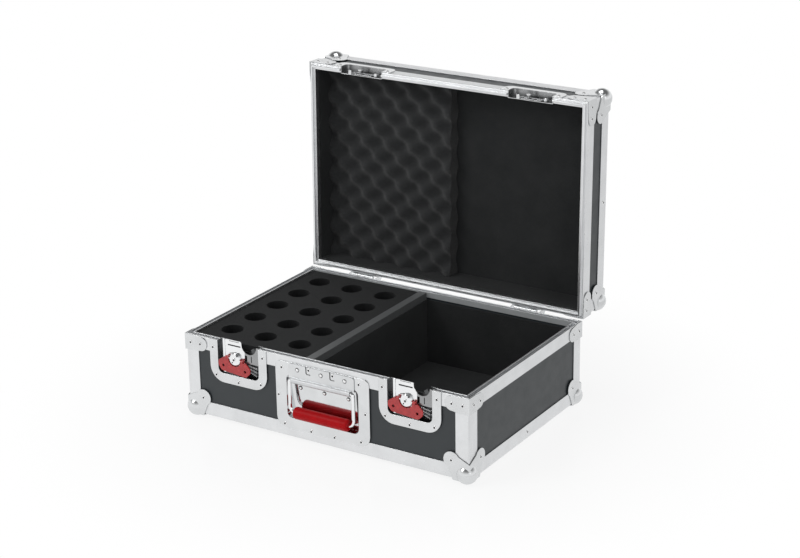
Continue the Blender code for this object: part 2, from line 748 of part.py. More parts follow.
def handle_dish():
    """The dish that the handle lies in."""
    half = HANDLE_FLANGE_WIDTH / 2
    bottom = BASE_BOTTOM + HANDLE_FLANGE_BOTTOM
    corners = rectangle(-half, bottom, half, bottom + HANDLE_FLANGE_HEIGHT)
    low = HANDLE_FLANGE_LOW_RADIUS
    flange = fillet(corners, [low, low, HANDLE_FLANGE_RADIUS, HANDLE_FLANGE_RADIUS])
    pressed = dish("handle_dish", flange, handle_mouth(DISH_THICKNESS), handle_mouth(0), HANDLE_DISH_RISE)
    return settle(pressed, "aluminium")


def wall_cut(name, loop):
    """A cutter through a front panel in the shape of a dish's pan."""
    return plate(name, [loop], FRONT_Y - OVERRUN, FRONT_Y + PANEL_IN + OVERRUN, "XZ", cutters)


# Panels

def base_panels():
    """Floor, front with its cut-outs, back and two sides."""
    out_x = HALF_WIDTH - PANEL_OUT
    front = FRONT_Y + PANEL_OUT
    back = BACK_Y - PANEL_OUT
    side_front = FRONT_Y + PANEL_IN + CLEARANCE
    side_back = BACK_Y - PANEL_IN - CLEARANCE
    low = FLOOR_Z + CLEARANCE
    top = BASE_PANEL_TOP
    panel("base_bottom_panel", (-out_x, front, BASE_BOTTOM + PANEL_OUT), (out_x, back, FLOOR_Z))
    clear = DISH_THICKNESS + CLEARANCE
    cuts = [wall_cut("handle_cut", handle_mouth(clear))]
    for side, x in LATCHES:
        cuts.append(wall_cut(f"latch_cut_{side}", latch_mouth(x, clear)))
    panel("base_front_panel", (-out_x, front, low), (out_x, front + PANEL_THICKNESS, top), None, cuts)
    panel("base_back_panel", (-out_x, back - PANEL_THICKNESS, low), (out_x, back, top))
    inner_x = out_x - PANEL_THICKNESS
    panel("base_left_panel", (-out_x, side_front, low), (-inner_x, side_back, top))
    panel("base_right_panel", (inner_x, side_front, low), (out_x, side_back, top))


def lid_panels():
    """Top, front with its cut-outs, back and two sides."""
    out_x = HALF_WIDTH - PANEL_OUT
    front = FRONT_Y + PANEL_OUT
    back = BACK_Y - PANEL_OUT
    side_front = FRONT_Y + PANEL_IN + CLEARANCE
    side_back = BACK_Y - PANEL_IN - CLEARANCE
    low = LID_PANEL_BOTTOM
    top = CEILING_Z - CLEARANCE
    inner_x = out_x - PANEL_THICKNESS
    panel("lid_top_panel", (-out_x, front, CEILING_Z), (out_x, back, LID_TOP - PANEL_OUT), lid_pivot)
    cuts = [
        wall_cut(f"keeper_cut_{side}", keeper_mouth(x, DISH_THICKNESS + CLEARANCE)) for side, x in LATCHES
    ]
    panel("lid_front_panel", (-out_x, front, low), (out_x, front + PANEL_THICKNESS, top), lid_pivot, cuts)
    panel("lid_back_panel", (-out_x, back - PANEL_THICKNESS, low), (out_x, back, top), lid_pivot)
    panel("lid_left_panel", (-out_x, side_front, low), (-inner_x, side_back, top), lid_pivot)
    panel("lid_right_panel", (inner_x, side_front, low), (out_x, side_back, top), lid_pivot)


# Corner hardware, made once for the corner at the origin with the case on its +X, +Y, +Z side

def petal_loop():
    """A rounded leaf along the diagonal of a face, from the ball out to its rivet."""
    inner = -HARDWARE_BACK - PETAL_THICKNESS
    covered = math.sqrt(BALL_RADIUS ** 2 - (BALL_INSET - inner) ** 2) - TINY
    meeting = math.acos((BALL_INSET - inner) / covered)
    corner = arc((BALL_INSET, BALL_INSET), covered, math.pi + meeting, math.radians(270) - meeting, 2)
    direction = math.radians(45)
    spread = math.atan2(PETAL_RADIUS - BALL_INSET * math.sin(direction), PETAL_REACH) + math.radians(90)
    tip = arc((PETAL_REACH, PETAL_REACH), PETAL_RADIUS, direction - spread, direction + spread, 2 * ARC_STEPS)
    return corner + [(PETAL_ROOT, inner)] + tip + [(inner, PETAL_ROOT)]


def ball_corner_mesh():
    """A ball over the corner with a leaf on each of its three faces, hollow where the case's corner is."""
    bm = bmesh.new()
    bmesh.ops.create_uvsphere(bm, u_segments=24, v_segments=14, radius=BALL_RADIUS)
    bmesh.ops.translate(bm, verts=bm.verts, vec=(BALL_INSET, BALL_INSET, BALL_INSET))
    ball = put("ball", mesh_of(bm, "ball"))
    loop = petal_loop()
    outer = -HARDWARE_BACK - PETAL_THICKNESS
    leaves = [
        plate(f"leaf_{plane}", [loop], outer, -HARDWARE_BACK + TINY, plane, cutters)
        for plane in ("XY", "YZ", "XZ")
    ]
    combine(ball, leaves, "UNION")
    far = PETAL_REACH + PETAL_RADIUS + OVERRUN
    inside = box("ball_inside", (-HARDWARE_BACK,) * 3, (far,) * 3, cutters)
    ground = BALL_INSET - BALL_RADIUS
    low = (-BALL_RADIUS, -BALL_RADIUS, ground - OVERRUN)
    flat = box("ball_flat", low, (far, far, ground + BALL_FLAT), cutters)
    combine(ball, [inside, flat], "DIFFERENCE")
    mesh = frozen(ball)
    bpy.data.objects.remove(ball, do_unlink=True)
    return mesh


def brace_loop():
    """One leg of a rim brace: a strip down the corner and a lobe along the rim; (along, down)."""
    edge = -HARDWARE_BACK - BRACE_THICKNESS
    lobe_centre = (BRACE_LOBE_REACH, BRACE_LOBE_DROP)
    lobe = arc(lobe_centre, BRACE_LOBE_RADIUS, math.radians(-90), BRACE_LOBE_END, 2 * ARC_STEPS)
    lobe_top = BRACE_LOBE_DROP - BRACE_LOBE_RADIUS
    return [(edge, 0), (BRACE_ROOT, 0), (BRACE_LOBE_REACH - BRACE_LOBE_RADIUS / 2, lobe_top / 2)] + lobe + [
        (BRACE_ROOT, BRACE_DROP),
        (edge, BRACE_DROP),
    ]


def brace_mesh():
    """A folded brace over a rim corner, with a leg on each face; z runs away from the parting plane."""
    outer = -HARDWARE_BACK - BRACE_THICKNESS
    loop = brace_loop()
    front = plate("brace", [loop], outer, -HARDWARE_BACK, "XZ")
    side = plate("brace_side", [loop], outer, -HARDWARE_BACK, "YZ", cutters)
    combine(front, [side], "UNION")
    mesh = frozen(front)
    bpy.data.objects.remove(front, do_unlink=True)
    return mesh


def at_corner(name, source, side_x, side_y, z, up, look, pivot=None):
    """A copy of corner hardware mirrored on to one corner."""
    mesh = source.copy()
    corner = Vector((side_x * HALF_WIDTH, PLAN_Y + side_y * DEPTH / 2, z))
    mirror = Matrix.Diagonal((-side_x, -side_y, up, 1))
    mesh.transform(Matrix.Translation(corner) @ mirror)
    if side_x * side_y * up < 0:
        mesh.flip_normals()
    thing = put(name, mesh)
    smooth(thing)
    dress(thing, look)
    if pivot is not None:
        hang(thing, pivot)
    return thing


CORNERS = (("front_left", -1, -1), ("front_right", 1, -1), ("back_right", 1, 1), ("back_left", -1, 1))


def corner_hardware():
    """Eight ball corners and eight rim braces."""
    ball = ball_corner_mesh()
    brace = brace_mesh()
    for place, side_x, side_y in CORNERS:
        at_corner(f"base_ball_{place}", ball, side_x, side_y, BASE_BOTTOM, 1, "chrome")
        at_corner(f"base_brace_{place}", brace, side_x, side_y, RIM_Z, -1, "steel")
        at_corner(f"lid_ball_{place}", ball, side_x, side_y, LID_TOP, -1, "chrome", lid_pivot)
        at_corner(f"lid_brace_{place}", brace, side_x, side_y, LID_RIM_Z, 1, "steel", lid_pivot)


# Twist latches

def claw_loop(x):
    """The hook's outline: an arm out of the boss and an arc that sweeps over the keeper's stud."""
    centre = (x, CAM_Z)
    steps = 2 * ARC_STEPS
    outer = arc(centre, CLAW_OUTER_RADIUS, CLAW_TAIL_ANGLE, CLAW_TIP_ANGLE, steps)
    inner = arc(centre, CLAW_INNER_RADIUS, CLAW_TIP_ANGLE, CLAW_ARM_ANGLE, steps)
    root = arc(centre, CLAW_ROOT_RADIUS, CLAW_ARM_ANGLE, CLAW_TAIL_ANGLE, 1)
    return outer + inner + root


def latch_cam(side, x, pivot):
    """The round boss with the claw behind it and the trunnions that the wing folds on."""
    boss_floor = DISH_DEPTH - DISH_THICKNESS - CLEARANCE
    height = boss_floor + BOSS_PROUD
    profile = [
        (0, height),
        (BOSS_RADIUS - BOSS_ROUNDING, height),
        (BOSS_RADIUS, height - BOSS_ROUNDING),
        (BOSS_RADIUS, 0),
        (0, 0),
    ]
    centre = (x, FRONT_Y + boss_floor, CAM_Z)
    boss = turned(f"latch_cam_{side}", profile, centre, "Y", ROUND_SEGMENTS + 4)
    claw_near = FRONT_Y + CLAW_FRONT
    claw_far = claw_near + CLAW_THICKNESS
    claw = plate(f"latch_claw_{side}", [claw_loop(x)], claw_near, claw_far, "XZ", cutters)
    pin_length = 2 * (WING_SHOULDER - CLEARANCE)
    pin_centre = (x, FRONT_Y - WING_PROUD, CAM_Z)
    pin = cutting_rod(f"latch_pin_{side}", pin_centre, TRUNNION_RADIUS, pin_length, "X")
    combine(boss, [claw, pin], "UNION")
    return settle(boss, "chrome", pivot)


def latch_cover(side, x):
    """The plate round the boss: a slotted face whose left and lower edges are bent back to the dish.

    An arm with a round notch runs from it to the right side of the dish, over the claw.
    """
    floor = FRONT_Y + DISH_DEPTH - DISH_THICKNESS - CLEARANCE
    bottom = RIM_Z - LATCH_MOUTH_DROP + CLEARANCE
    near = FRONT_Y + COVER_FRONT
    left = x - COVER_HALF_WIDTH
    right = x + COVER_HALF_WIDTH
    middle_x = x - CAM_OFFSET_X
    arm_right = middle_x + LATCH_MOUTH_WIDTH / 2 - CLEARANCE
    arm_bottom = RIM_Z - COVER_ARM_DROP
    notch_x = middle_x + COVER_NOTCH_X
    notch = arc((notch_x, RIM_Z), COVER_NOTCH_RADIUS, 0, -math.pi, 2 * ARC_STEPS)
    corner = COVER_CORNER_RADIUS
    outline = fillet(
        [
            (left, bottom),
            (right, bottom),
            (right, arm_bottom),
            (arm_right, arm_bottom),
            (arm_right, RIM_Z),
        ]
        + notch
        + [(notch_x - COVER_NOTCH_RADIUS, RIM_Z + COVER_RISE), (left, RIM_Z + COVER_RISE)],
        [0, corner, 0, corner, 0] + [0] * len(notch) + [corner, corner],
        2,
    )
    slot_z = RIM_Z - COVER_SLOT_DROP
    slot = rectangle(x - COVER_SLOT_LEFT, slot_z, x + COVER_SLOT_RIGHT, slot_z + COVER_SLOT_HEIGHT)
    hole = circle((x, CAM_Z), BOSS_RADIUS + CLEARANCE, ROUND_SEGMENTS + 4)
    arm_slot = rectangle(
        middle_x + COVER_ARM_SLOT_LEFT,
        RIM_Z - COVER_ARM_SLOT_BOTTOM,
        middle_x + COVER_ARM_SLOT_RIGHT,
        RIM_Z - COVER_ARM_SLOT_TOP,
    )
    loops = [outline, slot, arm_slot, hole]
    face = plate(f"latch_cover_{side}", loops, near, near + COVER_THICKNESS)
    middle = near + COVER_THICKNESS / 2
    side_high = (left + COVER_THICKNESS, floor, RIM_Z - COVER_SIDE_DROP)
    bent_side = box(f"cover_side_{side}", (left, middle, bottom), side_high, cutters)
    foot_high = (right - COVER_CORNER_RADIUS, floor, bottom + COVER_THICKNESS)
    foot = box(f"cover_foot_{side}", (left, middle, bottom), foot_high, cutters)
    combine(face, [bent_side, foot], "UNION")
    return settle(face, "chrome")


def wing_loops(x):
    """The wing's outline with its cut-out round the boss, and its two finger holes."""
    z = CAM_Z
    ear = math.asin(WING_EAR_TOP / WING_CUTOUT_RADIUS)
    round_boss = arc((x, z), WING_CUTOUT_RADIUS, ear, -math.pi - ear, 3 * ARC_STEPS)
    corner = WING_CORNER_RADIUS
    right_side = fillet(
        [
            (x, z - WING_DROP),
            (x + WING_FOOT, z - WING_DROP),
            (x + WING_HALF_WIDTH, z - WING_SIDE_BOTTOM),
            (x + WING_HALF_WIDTH, z - WING_SIDE_TOP),
            (x + WING_SHOULDER, z + WING_EAR_TOP),
            (x, z + WING_EAR_TOP),
        ],
        [0, 2 * corner, corner, corner, 0, 0],
        2,
    )[1:-1]
    left_side = [(2 * x - across, up) for across, up in reversed(right_side)]
    hole_z = z - WING_HOLE_DROP
    holes = [circle((x + hand * WING_HOLE_X, hole_z), WING_HOLE_RADIUS, SMALL_SEGMENTS) for hand in (-1, 1)]
    return [right_side + round_boss + left_side] + holes


def latch_wing(side, x, pivot):
    """The folding wing, hung on the trunnions by two barrels."""
    middle = FRONT_Y - WING_PROUD
    levels = (middle - WING_THICKNESS / 2, middle + WING_THICKNESS / 2)
    wing = plate(f"latch_wing_{side}", wing_loops(x), *levels)
    barrel_inner = WING_CUTOUT_RADIUS - CLEARANCE
    barrel_length = WING_SHOULDER - barrel_inner
    barrels = []
    for hand in (-1, 1):
        centre = (x + hand * (WING_SHOULDER + barrel_inner) / 2, middle, CAM_Z)
        name = f"wing_barrel_{side}_{hand}"
        barrels.append(cutting_rod(name, centre, WING_BARREL_RADIUS, barrel_length, "X"))
    combine(wing, barrels, "UNION")
    bore_radius = TRUNNION_RADIUS + TRUNNION_CLEARANCE
    bore_length = 2 * (WING_SHOULDER + OVERRUN)
    bore = cutting_rod(f"wing_bore_{side}", (x, middle, CAM_Z), bore_radius, bore_length, "X")
    combine(wing, [bore], "DIFFERENCE")
    return settle(wing, "red_plastic", pivot)


LATCHES = (("left", -LATCH_X), ("right", LATCH_X))


def latches():
    """Two latches: dish, cover, cam and wing in the base, keeper in the lid."""
    for side, x in LATCHES:
        latch_dish(side, x)
        keeper(side, x)
        cam_x = x + CAM_OFFSET_X
        latch_cover(side, cam_x)
        turn = empty(f"latch_turn_{side}", (cam_x, FRONT_Y, CAM_Z))
        fold = hang(empty(f"wing_fold_{side}", (cam_x, FRONT_Y - WING_PROUD, CAM_Z)), turn)
        latch_cam(side, cam_x, turn)
        latch_wing(side, cam_x, fold)
        turn.rotation_euler.y = LATCH_REST_ANGLE


# Handle

HANDLE_Y = FRONT_Y - HANDLE_AXIS_PROUD
HANDLE_Z = BASE_BOTTOM + HANDLE_AXIS_HEIGHT


def handle_plate():
    """The riveted plate whose lower edge is rolled into the knuckle that the bail turns in."""
    half = HANDLE_PLATE_WIDTH / 2
    narrow = HANDLE_KNUCKLE_WIDTH / 2
    back = FRONT_Y - FLANGE_FRONT - CLEARANCE
    top = BASE_BOTTOM + HANDLE_PLATE_TOP
    shoulder = HANDLE_Z + BAIL_RADIUS + 2 * BAIL_CLEARANCE
    corner = HANDLE_FLANGE_RADIUS / 2
    outline = fillet(
        [
            (-narrow, HANDLE_Z),
            (narrow, HANDLE_Z),
            (narrow, shoulder),
            (half, shoulder),
            (half, top),
            (-half, top),
            (-half, shoulder),
            (-narrow, shoulder),
        ],
        [0, 0, 0, 0, corner, corner, 0, 0],
    )
    leaf = plate("handle_plate", [outline], back - HANDLE_PLATE_THICKNESS, back)
    centre = (0, HANDLE_Y, HANDLE_Z)
    width = HANDLE_KNUCKLE_WIDTH
    knuckle = cutting_rod("handle_knuckle", centre, HANDLE_KNUCKLE_RADIUS, width, "X", ROUND_SEGMENTS)
    combine(leaf, [knuckle], "UNION")
    bore_radius = BAIL_RADIUS + BAIL_CLEARANCE
    bore = cutting_rod("handle_bore", centre, bore_radius, HANDLE_PLATE_WIDTH, "X", ROUND_SEGMENTS)
    combine(leaf, [bore], "DIFFERENCE")
    return settle(leaf, "steel")


def bail(pivot):
    """A bent rod: pivot ends in the knuckle, two arms and the run that carries the grip."""
    curve = bpy.data.curves.new("handle_bail", "CURVE")
    curve.dimensions = "3D"
    curve.bevel_depth = BAIL_RADIUS
    curve.bevel_resolution = 3
    curve.use_fill_caps = True
    route = fillet(
        [
            (-BAIL_PIVOT_END, 0),
            (-BAIL_HALF_SPAN, 0),
            (-BAIL_HALF_SPAN, -BAIL_DROP),
            (BAIL_HALF_SPAN, -BAIL_DROP),
            (BAIL_HALF_SPAN, 0),
            (BAIL_PIVOT_END, 0),
        ],
        [0, BAIL_PIVOT_BEND, BAIL_BEND_RADIUS, BAIL_BEND_RADIUS, BAIL_PIVOT_BEND, 0],
        4,
    )
    spline = curve.splines.new("POLY")
    spline.points.add(len(route) - 1)
    for point, (across, up) in zip(spline.points, route):
        point.co = (across, 0, up, 1)
    drawn = bpy.data.objects.new("bail_route", curve)
    case.objects.link(drawn)
    drawn.location = (0, HANDLE_Y, HANDLE_Z)
    thing = put("handle_bail", welded(frozen(drawn)))
    bpy.data.objects.remove(drawn, do_unlink=True)
    smooth(thing, math.radians(50))
    dress(thing, "chrome")
    return hang(thing, pivot)


def grip(pivot):
    """The rubber grip, a turned sleeve round the bail's lower run."""
    half = GRIP_LENGTH / 2
    bore = BAIL_RADIUS + BAIL_CLEARANCE
    rounding = GRIP_ROUNDING
    profile = [(bore, half)]
    for radius, height in arc((GRIP_RADIUS - rounding, half - rounding), rounding, math.radians(90), 0, 3):
        profile.append((radius, height))
    for radius, height in arc((GRIP_RADIUS - rounding, rounding - half), rounding, 0, math.radians(-90), 3):
        profile.append((radius, height))
    profile.append((bore, -half))
    sleeve = turned("handle_grip", profile, (0, HANDLE_Y, HANDLE_Z - BAIL_DROP), "X", ROUND_SEGMENTS + 4)
    smooth(sleeve)
    dress(sleeve, "red_rubber")
    return hang(sleeve, pivot)


def handle_spring():
    """The torsion spring coiled inside the knuckle between the bail's ends."""
    curve = bpy.data.curves.new("handle_spring", "CURVE")
    curve.dimensions = "3D"
    curve.bevel_depth = SPRING_WIRE_RADIUS
    curve.bevel_resolution = 1
    curve.use_fill_caps = True
    points_per_turn = 8
    count = SPRING_TURNS * points_per_turn + 1
    spline = curve.splines.new("POLY")
    spline.points.add(count - 1)
    for index, point in enumerate(spline.points):
        angle = math.tau * index / points_per_turn
        along = SPRING_LENGTH * (index / (count - 1) - 1 / 2)
        point.co = (along, SPRING_RADIUS * math.cos(angle), SPRING_RADIUS * math.sin(angle), 1)
    drawn = bpy.data.objects.new("spring_route", curve)
    case.objects.link(drawn)
    drawn.location = (0, HANDLE_Y, HANDLE_Z)
    thing = put("handle_spring", welded(frozen(drawn)))
    bpy.data.objects.remove(drawn, do_unlink=True)
    return dress(smooth(thing), "steel")


def handle():
    """Dish, knuckle plate, spring, bail and grip."""
    handle_dish()
    handle_plate()
    handle_spring()
    pivot = empty("handle_pivot", (0, HANDLE_Y, HANDLE_Z))
    bail(pivot)
    grip(pivot)


# Stop hinges

def hinge_barrel(name, x, length, radius):
    """A stretch of the hinge's barrel."""
    return rod(name, (x, HINGE_Y, HINGE_Z), radius, length, "X", SMALL_SEGMENTS + 4, cutters)


def hinge_leaf(name, x, up, knuckles):
    """A leaf on the back of a rim with its knuckles; up is -1 on the base and 1 on the lid."""
    half = HINGE_LEAF_WIDTH / 2
    near = BACK_Y + HARDWARE_BACK
    far = near + HINGE_LEAF_THICKNESS
    parting = RIM_Z if up < 0 else LID_RIM_Z
    root = HINGE_Z + up * (HINGE_BARREL_RADIUS + HINGE_JOINT_GAP)
    end = parting + up * HINGE_LEAF_HEIGHT
    low, high = sorted((root, end))
    leaf = box(name, (x - half, near, low), (x + half, far, high))
    low, high = sorted((HINGE_Z + up * HINGE_NECK_DROP, root + up * OVERRUN))
    additions = []
    for index, (centre, length) in enumerate(knuckles):
        left = x + centre - length / 2 + CLEARANCE
        right = x + centre + length / 2 - CLEARANCE
        barrel_name = f"{name}_barrel_{index}"
        neck_name = f"{name}_neck_{index}"
        additions.append(hinge_barrel(barrel_name, x + centre, length, HINGE_BARREL_RADIUS))
        additions.append(box(neck_name, (left, near + TINY, low), (right, far - TINY, high), cutters))
    combine(leaf, additions, "UNION")
    bore_length = HINGE_BARREL_LENGTH + OVERRUN
    bore = hinge_barrel(f"{name}_bore", x, bore_length, HINGE_PIN_RADIUS + HINGE_PIN_CLEARANCE)
    combine(leaf, [bore], "DIFFERENCE")
    return leaf


def stop_ear(name, x):
    """A cheek behind the base leaf whose top edge carries the lid's leaf when the lid is open."""
    near = BACK_Y + HARDWARE_BACK + HINGE_LEAF_THICKNESS / 2
    tip = HINGE_Y + HINGE_EAR_REACH
    leaf_face = HINGE_OFFSET - HARDWARE_BACK - HINGE_LEAF_THICKNESS
    sink = (HINGE_EAR_REACH + OVERRUN) * -math.cos(LID_OPEN_ANGLE)
    top = HINGE_Z + leaf_face - sink - HINGE_STOP_CLEARANCE
    bottom = RIM_Z - HINGE_LEAF_HEIGHT + HINGE_EAR_INSET
    loop = [
        (near, bottom),
        (near + HINGE_LEAF_THICKNESS, bottom),
        (tip, top - HINGE_EAR_TIP),
        (tip, top),
        (near, top),
    ]
    half = HINGE_EAR_THICKNESS / 2
    return plate(name, [loop], x - half, x + half, "YZ", cutters)


def hinges():
    """Two stop hinges, each with a base leaf, a lid leaf and a pin."""
    outer_length = (HINGE_BARREL_LENGTH - HINGE_CENTRE_LENGTH) / 2 - HINGE_JOINT_GAP
    outer_centre = (HINGE_BARREL_LENGTH - outer_length) / 2
    for side, x in (("left", -HINGE_X), ("right", HINGE_X)):
        outer = [(-outer_centre, outer_length), (outer_centre, outer_length)]
        base_leaf = hinge_leaf(f"hinge_base_leaf_{side}", x, -1, outer)
        ear_x = (HINGE_LEAF_WIDTH - HINGE_EAR_THICKNESS) / 2 - HINGE_EAR_INSET
        ears = [stop_ear(f"hinge_ear_{side}_{hand}", x + hand * ear_x) for hand in (-1, 1)]
        combine(base_leaf, ears, "UNION")
        settle(base_leaf, "steel")
        lid_leaf = hinge_leaf(f"hinge_lid_leaf_{side}", x, 1, [(0, HINGE_CENTRE_LENGTH)])
        settle(lid_leaf, "steel", lid_pivot)
        pin_centre = (x, HINGE_Y, HINGE_Z)
        pin = rod(f"hinge_pin_{side}", pin_centre, HINGE_PIN_RADIUS, HINGE_BARREL_LENGTH, "X", SMALL_SEGMENTS)
        settle(pin, "steel")


# Interior

def foam_insert():
    """A block of foam that fills the left section, with a grid of microphone holes."""
    left = -HALF_WIDTH + WALL_FREE
    right = DIVIDER_X - DIVIDER_THICKNESS / 2 - EDGING_WALL - 2 * CLEARANCE
    front = FRONT_Y + DISH_FREE
    back = BACK_Y - WALL_FREE
    middle_x = (left + right) / 2
    middle_y = (front + back) / 2
    pitch_x = (right - left) * MIC_PITCH_X_SHARE
    pitch_y = (back - front) * MIC_PITCH_Y_SHARE
    floor = FLOOR_Z + CLEARANCE
    top = RIM_Z - FOAM_TOP_DROP
    holes = []
    for column in range(MIC_COLUMNS):
        for row in range(MIC_ROWS):
            x = middle_x + (column - (MIC_COLUMNS - 1) / 2) * pitch_x
            y = middle_y + (row - (MIC_ROWS - 1) / 2) * pitch_y
            holes.append(circle((x, y), MIC_HOLE_RADIUS, ROUND_SEGMENTS))
    outline = rectangle(left, front, right, back)
    block = plate("foam_insert", [outline] + holes, floor + FOAM_FLOOR / 2, top, "XY")
    slab = box("foam_slab", (left, front, floor), (right, back, floor + FOAM_FLOOR), cutters)
    combine(block, [slab], "UNION")
    return settle(block, "foam")


def divider():
    """The board between the sections, and the channel that edges its top."""
    half = DIVIDER_THICKNESS / 2
    front = FRONT_Y + DISH_FREE
    back = BACK_Y - WALL_FREE
    top = RIM_Z - DIVIDER_DROP
    board_top = top - EDGING_WALL - CLEARANCE
    low = (DIVIDER_X - half, front, FLOOR_Z + CLEARANCE)
    board = box("divider", low, (DIVIDER_X + half, back, board_top))
    settle(board, "lining")
    wide = half + CLEARANCE + EDGING_WALL
    low = (DIVIDER_X - wide, front, top - EDGING_LEG)
    channel = box("divider_edging", low, (DIVIDER_X + wide, back, top))
    slot_low = (DIVIDER_X - half - CLEARANCE, front - OVERRUN, top - EDGING_LEG - OVERRUN)
    slot_high = (DIVIDER_X + half + CLEARANCE, back + OVERRUN, top - EDGING_WALL)
    combine(channel, [box("edging_slot", slot_low, slot_high, cutters)], "DIFFERENCE")
    settle(channel, "edging")


def tray(name, low, high, open_top, pivot=None):
    """A lining: floor and four walls of thin sheet, open on one side."""
    shell = box(name, low, high)
    inner_low = [value + LINING_THICKNESS for value in low]
    inner_high = [value - LINING_THICKNESS for value in high]
    if open_top:
        inner_high[2] = high[2] + OVERRUN
    else:
        inner_low[2] = low[2] - OVERRUN
    combine(shell, [box(f"{name}_hollow", inner_low, inner_high, cutters)], "DIFFERENCE")
    return settle(shell, "lining", pivot)


def linings():
    """The compartment's lining in the base and the lid's lining."""
    wall = PANEL_IN + CLEARANCE
    left = DIVIDER_X + DIVIDER_THICKNESS / 2 + CLEARANCE
    front = FRONT_Y + DISH_FREE
    low = (left, front, FLOOR_Z + CLEARANCE)
    drop = max(RIM_INNER_LEG, DIVIDER_DROP + EDGING_LEG) + CLEARANCE
    high = (HALF_WIDTH - wall, BACK_Y - wall, RIM_Z - drop)
    tray("compartment_lining", low, high, True)
    low = (-HALF_WIDTH + wall, front, LID_RIM_Z + RIM_INNER_LEG + CLEARANCE)
    high = (HALF_WIDTH - wall, BACK_Y - wall, CEILING_Z - CLEARANCE)
    tray("lid_lining", low, high, False, lid_pivot)


def lid_foam():
    """The egg-crate pad over the microphones: a lattice of soft peaks on a flat backing."""
    side = PANEL_IN + 2 * CLEARANCE + LINING_THICKNESS
    left = -HALF_WIDTH + side
    right = LID_FOAM_RIGHT
    front = FRONT_Y + DISH_FREE + LINING_THICKNESS + CLEARANCE
    back = BACK_Y - side
    ceiling = CEILING_Z - 2 * CLEARANCE - LINING_THICKNESS
    step = EGG_PITCH / EGG_STEPS_PER_PITCH
    across = round((right - left) / step)
    along = round((back - front) / step)
    bm = bmesh.new()
    bmesh.ops.create_grid(bm, x_segments=across, y_segments=along, size=1)
    half_x = (right - left) / 2
    half_y = (back - front) / 2
    for vert in bm.verts:
        x = vert.co.x * half_x
        y = vert.co.y * half_y
        peak = math.cos(math.pi * x / EGG_PITCH) * math.cos(math.pi * y / EGG_PITCH)
        if vert.co.x > 1 - step / half_x / 2:
            x -= EGG_EDGE_WAVE * (1 + math.cos(math.pi * y / EGG_PITCH)) / 2
        depth = LID_FOAM_BACKING + EGG_HEIGHT * (1 + peak) / 2
        vert.co = ((left + right) / 2 + x, (front + back) / 2 + y, ceiling - depth)
    rim = [edge for edge in bm.edges if edge.is_boundary]
    wall = bmesh.ops.extrude_edge_only(bm, edges=rim)
    top = [item for item in wall["geom"] if isinstance(item, bmesh.types.BMVert)]
    for vert in top:
        vert.co.z = ceiling
    bmesh.ops.holes_fill(bm, edges=[edge for edge in bm.edges if edge.is_boundary])
    pad = put("lid_foam", mesh_of(bm, "lid_foam"))
    smooth(pad, math.radians(60))
    dress(pad, "foam")
    return hang(pad, lid_pivot)


edge_frame("base_edge_frame", BASE_BOTTOM, 1, BASE_HEIGHT)
edge_frame("lid_edge_frame", LID_TOP, -1, LID_HEIGHT, lid_pivot)
rims("base", RIM_Z, -1, False)
rims("lid", LID_RIM_Z, 1, True, lid_pivot)
base_panels()
lid_panels()
corner_hardware()
latches()
handle()
hinges()
foam_insert()
divider()
linings()
lid_foam()
lid_pivot.rotation_euler.x = -LID_OPEN_ANGLE
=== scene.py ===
import json
import math

import bmesh
import bpy
from mathutils import Matrix, Vector

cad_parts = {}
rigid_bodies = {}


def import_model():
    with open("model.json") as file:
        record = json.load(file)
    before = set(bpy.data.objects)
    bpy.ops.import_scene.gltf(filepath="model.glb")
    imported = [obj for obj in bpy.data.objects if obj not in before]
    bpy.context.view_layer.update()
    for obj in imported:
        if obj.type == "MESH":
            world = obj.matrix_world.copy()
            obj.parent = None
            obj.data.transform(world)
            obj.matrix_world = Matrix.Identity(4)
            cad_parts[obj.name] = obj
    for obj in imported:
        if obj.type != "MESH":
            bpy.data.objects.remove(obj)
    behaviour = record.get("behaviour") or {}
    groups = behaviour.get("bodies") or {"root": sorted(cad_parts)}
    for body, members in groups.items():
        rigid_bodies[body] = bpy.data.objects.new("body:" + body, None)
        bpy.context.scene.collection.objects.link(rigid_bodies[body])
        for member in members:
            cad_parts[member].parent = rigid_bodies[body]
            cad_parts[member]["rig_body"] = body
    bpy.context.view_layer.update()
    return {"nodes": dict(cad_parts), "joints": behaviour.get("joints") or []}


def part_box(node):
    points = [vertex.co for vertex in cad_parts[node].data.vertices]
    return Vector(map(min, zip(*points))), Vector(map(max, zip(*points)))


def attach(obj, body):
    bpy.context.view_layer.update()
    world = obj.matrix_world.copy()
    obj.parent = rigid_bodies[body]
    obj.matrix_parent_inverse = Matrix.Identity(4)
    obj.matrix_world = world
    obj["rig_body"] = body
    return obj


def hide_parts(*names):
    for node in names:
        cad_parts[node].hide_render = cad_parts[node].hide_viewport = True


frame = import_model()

# The camera that sees the case as the photograph does, worked out from the case's straight edges
CAMERA_PLACE = Vector((1.6066, -2.52043, 1.3174))
CAMERA_AHEAD = Vector((-0.50263, 0.79161, -0.34745))
CAMERA_ROLL = math.radians(-0.94)
CAMERA_LENS_MM = 90.22
CAMERA_SENSOR_MM = 36.0
CAMERA_REACH = 40.0

# Light levels and the studio
WORLD_COLOUR = (1.0, 1.0, 1.0, 1.0)
WORLD_LEVEL = 0.60
BACKDROP_LEVEL = 1.0
CEILING_LEVEL = 0.16
CEILING_STARTS = 0.18
CEILING_ENDS = 0.75
FLOOR_SIZE = 24.0
FLOOR_NEAR = 0.31
FLOOR_FAR = 0.66
FLOOR_GLOW = 0.84
FLOOR_COLOUR = (0.90, 0.905, 0.91)
FLOOR_ROUGHNESS = 0.22
FLOOR_DIM = 0.80
FLOOR_DIM_STARTS = 0.10
FLOOR_DIM_ENDS = 0.60
